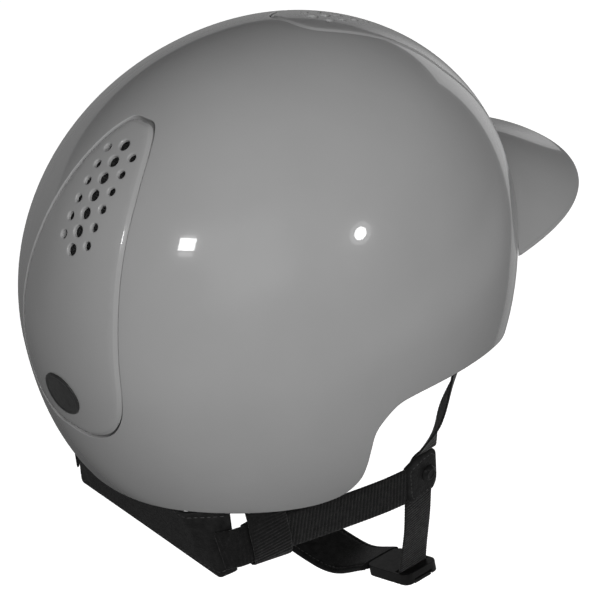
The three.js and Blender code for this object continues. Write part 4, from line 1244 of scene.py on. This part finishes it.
def webbing_fabric():
    """Black polyester webbing: fine yarns over the modelled ribs, fuzz, and slight fading."""
    nodes = Nodes("webbing_fabric", Specular_IOR_Level=0.3, Sheen_Weight=0.12, Sheen_Roughness=0.4)
    nodes.colour(nodes.ramp(nodes.noise(900, 5), [(0.3, 0.003), (0.6, 0.007), (0.8, 0.018)]))
    nodes.roughness(nodes.mottled(300, 3, 0.55, 0.8))
    nodes.bump(nodes.cells(1900), 0.7, 0.00022)
    nodes.bump(nodes.noise(4200, 2), 0.35, 0.0001)
    return nodes.material


def grained_leather():
    """Black synthetic leather: small raised grain with smooth worn tops."""
    nodes = Nodes("grained_leather", Specular_IOR_Level=0.28)
    grain = nodes.cells(1150, "SMOOTH_F1")
    nodes.colour(nodes.mottled(260, 4, 0.005, 0.013))
    nodes.roughness(nodes.ramp(grain, [(0.1, 0.42), (0.7, 0.62)]))
    nodes.bump(grain, 0.55, 0.00025)
    nodes.bump(nodes.noise(160, 3), 0.2, 0.0008)
    return nodes.material


def moulded_plastic():
    """Black satin plastic with a fine spark-eroded texture."""
    nodes = Nodes("moulded_plastic", Specular_IOR_Level=0.35)
    nodes.colour(nodes.mottled(220, 3, 0.004, 0.009))
    nodes.roughness(nodes.mottled(500, 3, 0.3, 0.42))
    nodes.bump(nodes.noise(3600, 2), 0.25, 0.00008)
    return nodes.material


def plated_steel():
    """Nickel-plated steel with brushing along its length and faint smears."""
    nodes = Nodes("plated_steel", Metallic=1.0)
    nodes.colour(nodes.mottled(90, 3, 0.46, 0.56))
    nodes.roughness(nodes.mottled(260, 3, 0.24, 0.38))
    nodes.bump(nodes.noise(700, 2, (1, 1, 9)), 0.15, 0.00008)
    return nodes.material


def bead_foam():
    """Dark expanded foam: pressed beads with fine seams between them."""
    nodes = Nodes("bead_foam", Specular_IOR_Level=0.3)
    beads = nodes.cells(330, "DISTANCE_TO_EDGE")
    nodes.colour(nodes.ramp(beads, [(0.02, 0.014), (0.2, 0.034)]))
    nodes.roughness(nodes.mottled(120, 3, 0.62, 0.8))
    nodes.bump(beads, 0.5, 0.0006)
    return nodes.material


def knit_lining():
    """Brushed knit over foam: small loops in columns, with a soft nap."""
    nodes = Nodes("knit_lining", Specular_IOR_Level=0.2, Sheen_Weight=0.5, Sheen_Roughness=0.5)
    nodes.colour(nodes.mottled(420, 5, 0.009, 0.024))
    nodes.roughness(nodes.mottled(240, 2, 0.86, 0.97))
    nodes.bump(nodes.cells(820, "SMOOTH_F1", (1, 1, 0.6)), 0.8, 0.0005)
    nodes.bump(nodes.noise(3000, 3), 0.4, 0.0002)
    return nodes.material


def net_yarn():
    nodes = Nodes("net_yarn", Specular_IOR_Level=0.4)
    nodes.colour(nodes.mottled(700, 3, 0.008, 0.03))
    nodes.roughness(nodes.mottled(300, 2, 0.45, 0.6))
    nodes.bump(nodes.noise(5000, 1), 0.3, 0.00008)
    return nodes.material


def satin_badge():
    nodes = Nodes("satin_badge", Specular_IOR_Level=0.5)
    nodes.colour(nodes.mottled(180, 3, 0.016, 0.026))
    nodes.roughness(nodes.mottled(420, 3, 0.34, 0.46))
    nodes.bump(nodes.noise(2600, 2), 0.3, 0.0001)
    return nodes.material


def sewing_thread():
    """Black bonded thread with a slight twist and shine."""
    nodes = Nodes("sewing_thread", Specular_IOR_Level=0.6)
    nodes.colour(nodes.mottled(900, 2, 0.02, 0.045))
    nodes.roughness(nodes.mottled(300, 2, 0.4, 0.55))
    nodes.bump(nodes.cells(2600), 0.5, 0.0001)
    return nodes.material


# ---- camera, floor and light --------------------------------------------------------------------------


CAMERA_PLACE = (-0.45007, 0.38052, 0.37832)
CAMERA_BEARING = 138.883
CAMERA_ELEVATION = 34.322
CAMERA_ROLL = -6.706


def direction(bearing, elevation):
    """Direction from the helmet, by bearing from the wearer's left and elevation, in degrees."""
    b, e = math.radians(bearing), math.radians(elevation)
    return Vector((math.cos(e) * math.cos(b), math.cos(e) * math.sin(b), math.sin(e)))


def make_camera():
    camera = bpy.data.objects.new("camera", bpy.data.cameras.new("camera"))
    camera.data.lens = 85
    camera.data.sensor_width = 36
    camera.data.clip_end = 20
    turn = Matrix.Rotation(math.radians(CAMERA_ROLL), 4, "Z")
    facing = direction(CAMERA_BEARING, CAMERA_ELEVATION).to_track_quat("Z", "Y").to_matrix().to_4x4()
    camera.matrix_world = Matrix.Translation(CAMERA_PLACE) @ facing @ turn
    bpy.context.scene.collection.objects.link(camera)
    bpy.context.scene.camera = camera


LIGHT_DISTANCE = 2.0


def panel_light(name, bearing, elevation, width, height, radiance, disk=False, mirrored=True):
    """Area light that points at the helmet; mirrored lights show in the lacquer."""
    light = bpy.data.lights.new(name, "AREA")
    light.shape = "ELLIPSE" if disk else "RECTANGLE"
    light.size = width
    light.size_y = height
    light.energy = radiance * math.pi * width * height
    lamp = bpy.data.objects.new(name, light)
    lamp.location = direction(bearing, elevation) * LIGHT_DISTANCE
    lamp.rotation_mode = "QUATERNION"
    lamp.rotation_quaternion = direction(bearing, elevation).to_track_quat("Z", "Y")
    lamp.visible_glossy = mirrored
    bpy.context.scene.collection.objects.link(lamp)


def studio_lights():
    panel_light("softbox", 115, 42.2, 0.28, 0.185, 22)
    panel_light("softbox_lower_edge", 115.3, 38.0, 0.25, 0.06, 2.6)
    panel_light("softbox_upper_edge", 114.6, 45.6, 0.22, 0.025, 3.0)
    panel_light("round_lamp", -162, 18, 0.17, 0.17, 16, disk=True)
    panel_light("round_lamp_halo", -162, 18, 0.3, 0.3, 1.4, disk=True)
    panel_light("wide_fill", 149, 32, 1.3, 1.3, 8.6, mirrored=False)
    panel_light("front_fill", -50, 4, 1.2, 1.2, 0.4, mirrored=False)


class Maths:
    """Short ways to write sums between node sockets."""

    def __init__(self, tree):
        self.tree = tree

    def node(self, kind, **settings):
        node = self.tree.nodes.new("ShaderNode" + kind)
        for key, value in settings.items():
            setattr(node, key, value)
        return node

    def sum(self, operation, a, b):
        node = self.node("Math", operation=operation)
        for socket, value in zip(node.inputs, (a, b)):
            if isinstance(value, (int, float)):
                socket.default_value = value
            else:
                self.tree.links.new(value, socket)
        return node.outputs[0]

    def step(self, value, low, high):
        """0 below low, 1 above high, and smooth between."""
        node = self.node("MapRange", interpolation_type="SMOOTHSTEP")
        node.inputs["From Min"].default_value = low
        node.inputs["From Max"].default_value = high
        self.tree.links.new(value, node.inputs["Value"])
        return node.outputs["Result"]

    def mix(self, share, a, b):
        """a where share is 0 and b where it is 1."""
        return self.sum("ADD", self.sum("MULTIPLY", self.sum("SUBTRACT", 1.0, share), a),
                        self.sum("MULTIPLY", share, b))

    def product(self, *values):
        result = values[0]
        for value in values[1:]:
            result = self.sum("MULTIPLY", result, value)
        return result


def studio_room():
    """Room seen in the lacquer: a white sweep low on the far side, dim floor, dark above.

    The camera sees plain white behind the helmet, and diffuse surfaces get a weak even light."""
    world = bpy.data.worlds.new("studio")
    bpy.context.scene.world = world
    world.use_nodes = True
    tree = world.node_tree
    tree.nodes.clear()
    maths = Maths(tree)
    spot = maths.node("SeparateXYZ")
    tree.links.new(maths.node("TexCoord").outputs["Generated"], spot.inputs[0])
    x, y, z = spot.outputs
    level = maths.sum("POWER", maths.sum("ADD", maths.product(x, x), maths.product(y, y)), 0.5)
    level = maths.sum("MAXIMUM", level, 0.001)

    def facing(bearing):
        """How much a direction's bearing agrees with a given one, from 1 to -1."""
        aim = direction(bearing, 0)
        return maths.sum("DIVIDE", maths.sum("ADD", maths.product(x, aim.x), maths.product(y, aim.y)),
                         level)

    below_top_edge = maths.sum("SUBTRACT", 1.0, maths.step(z, 0.098, 0.112))
    past_side_edge = maths.step(facing(9), -0.012, 0.012)
    fading_round = maths.step(facing(-52), 0.1, 0.75)
    brighter_right = maths.mix(maths.step(facing(-80), 0.9, 0.99), 0.36, 1.0)
    towards_wall = maths.mix(maths.step(z, -0.9, 0.0), 0.25, 1.0)
    sweep = maths.product(below_top_edge, past_side_edge, fading_round)
    lit_patch = maths.product(maths.step(facing(-130), 0.7, 0.95), maths.step(z, -0.65, -0.45),
                              maths.sum("SUBTRACT", 1.0, maths.step(z, -0.4, -0.2)))
    floor = maths.mix(maths.step(z, -0.45, 0.12), 0.24, 0.03)
    floor = maths.mix(lit_patch, floor, 0.45)
    room = maths.mix(sweep, floor, maths.product(brighter_right, towards_wall))

    rays = maths.node("LightPath").outputs
    strength = maths.mix(rays["Is Camera Ray"], room, 1.0)
    strength = maths.mix(rays["Is Diffuse Ray"], strength, 0.06)
    shade = maths.node("Background")
    tree.links.new(strength, shade.inputs["Strength"])
    tree.links.new(shade.outputs[0], maths.node("OutputWorld").inputs[0])
    bpy.context.scene.view_settings.view_transform = "Standard"


def pale_floor():
    """Floor below the hanging chin loop; it lights only what the camera sees of it."""
    size, height = 6, -0.35
    corners = [(-size, -size, height), (size, -size, height), (size, size, height), (-size, size, height)]
    mesh = bpy.data.meshes.new("floor")
    mesh.from_pydata(corners, [], [(0, 1, 2, 3)])
    floor = bpy.data.objects.new("floor", mesh)
    bpy.context.scene.collection.objects.link(floor)
    nodes = Nodes("floor", Emission_Color=(1, 1, 1, 1), Emission_Strength=0.85)
    nodes.colour(nodes.mottled(3, 2, 0.72, 0.76))
    nodes.roughness(nodes.mottled(8, 2, 0.85, 0.95))
    mesh.materials.append(nodes.material)
    floor.visible_glossy = False
    floor.visible_diffuse = False


# ---- assembly -----------------------------------------------------------------------------------------


def put(piece, node, shown=False):
    """Rides a piece on a CAD node's body, and stands it in for the node unless the node stays shown."""
    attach(piece, frame["nodes"][node]["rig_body"])
    if not shown:
        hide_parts(node)
    return piece


def keep(material, *nodes):
    """Gives CAD nodes whose shape is right a better material."""
    for node in nodes:
        slots = frame["nodes"][node].data.materials
        slots.clear()
        slots.append(material)


make_camera()
studio_room()
studio_lights()
pale_floor()

GLOSS = lacquer("lacquer", 0.18, 0.8)
FABRIC = webbing_fabric()
LEATHER = grained_leather()
PLASTIC = moulded_plastic()
STEEL = plated_steel()
KNIT = knit_lining()
THREAD = sewing_thread()
NET = net_yarn()

put(outer_shell(GLOSS), "outer_shell")
put(peak(GLOSS), "peak")
put(rear_badge(satin_badge()), "rear_badge")
for place, panel in PANELS.items():
    put(vent_panel(f"{place}_panel", panel, GLOSS), f"{place}_vent_panel")
    put(vent_net(f"{place}_net", panel, NET), f"{place}_vent_mesh")

put(shock_liner(bead_foam()), "shock_liner")
PADS = {
    "brow_pad": comfort_pad("brow_cushion", -140, -40, 4, 4, KNIT),
    "side_pad_right": comfort_pad("side_cushion_right", 145, 210, 5, 22, KNIT),
    "side_pad_left": comfort_pad("side_cushion_left", -30, 35, 5, 22, KNIT),
    "rear_pad": comfort_pad("rear_cushion", 50, 130, 4, 6, KNIT),
    "crown_pad": crown_pad(KNIT),
}
for node, pad in PADS.items():
    put(pad, node)

for side, sign in (("right", 1), ("left", -1)):
    left = side == "left"
    put(webbing(f"front_web_{side}", FRONT_STRAP, WEBBING_WIDTH - 3, WEBBING_THICKNESS, FABRIC, left),
        f"front_strap_{side}")
    put(webbing(f"rear_loop_web_{side}", REAR_LOOP, WEBBING_WIDTH, 1.3, FABRIC, left),
        f"rear_loop_{side}")
    put(webbing(f"nape_web_{side}", NAPE_TAB, WEBBING_WIDTH, WEBBING_THICKNESS, FABRIC, left),
        f"nape_tab_{side}")
    rear = webbing(f"rear_web_{side}", REAR_STRAP, REAR_STRAP_WIDTH, WEBBING_THICKNESS, FABRIC, left)
    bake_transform(rear)
    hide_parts(f"rear_strap_{side}")
    put(junction_patch(f"patch_{side}", sign, LEATHER), f"side_junction_{side}")
    put(junction_stitches(f"patch_stitches_{side}", sign, THREAD), f"side_junction_{side}", True)
    put(junction_snap(f"snap_{side}", sign, PLASTIC), f"junction_snap_{side}")
    for place in ("front", "rear"):
        put(softened(f"{place}_plate_{side}", f"{place}_anchor_{side}", 0.3, STEEL),
            f"{place}_anchor_{side}")

put(nape_pad(LEATHER), "nape_pad")
put(nape_stitches(THREAD), "nape_pad", True)
put(chin_strap("chin_web_right", CHIN_STRAP_RIGHT, FABRIC), "chin_strap_right")
put(chin_strap("chin_web_left", CHIN_STRAP_LEFT, FABRIC, True), "chin_strap_left")
put(softened("adjuster", "chin_slider", 0.5, PLASTIC), "chin_slider")
put(softened("buckle_case", "buckle_housing", 0.5, PLASTIC), "buckle_housing")
put(softened("toothed_tongue", "buckle_tongue", 0.2, PLASTIC), "buckle_tongue")
put(softened("press_lever", "release_lever", 0.3, PLASTIC), "release_lever")
keep(STEEL, "lever_pin", "peak_screw_right", "peak_screw_centre", "peak_screw_left")

GUARD = chin_pad(LEATHER)
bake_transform(GUARD)
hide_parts("chin_pad")
GUARD_STITCHES = chin_pad_stitches(THREAD)
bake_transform(GUARD_STITCHES)
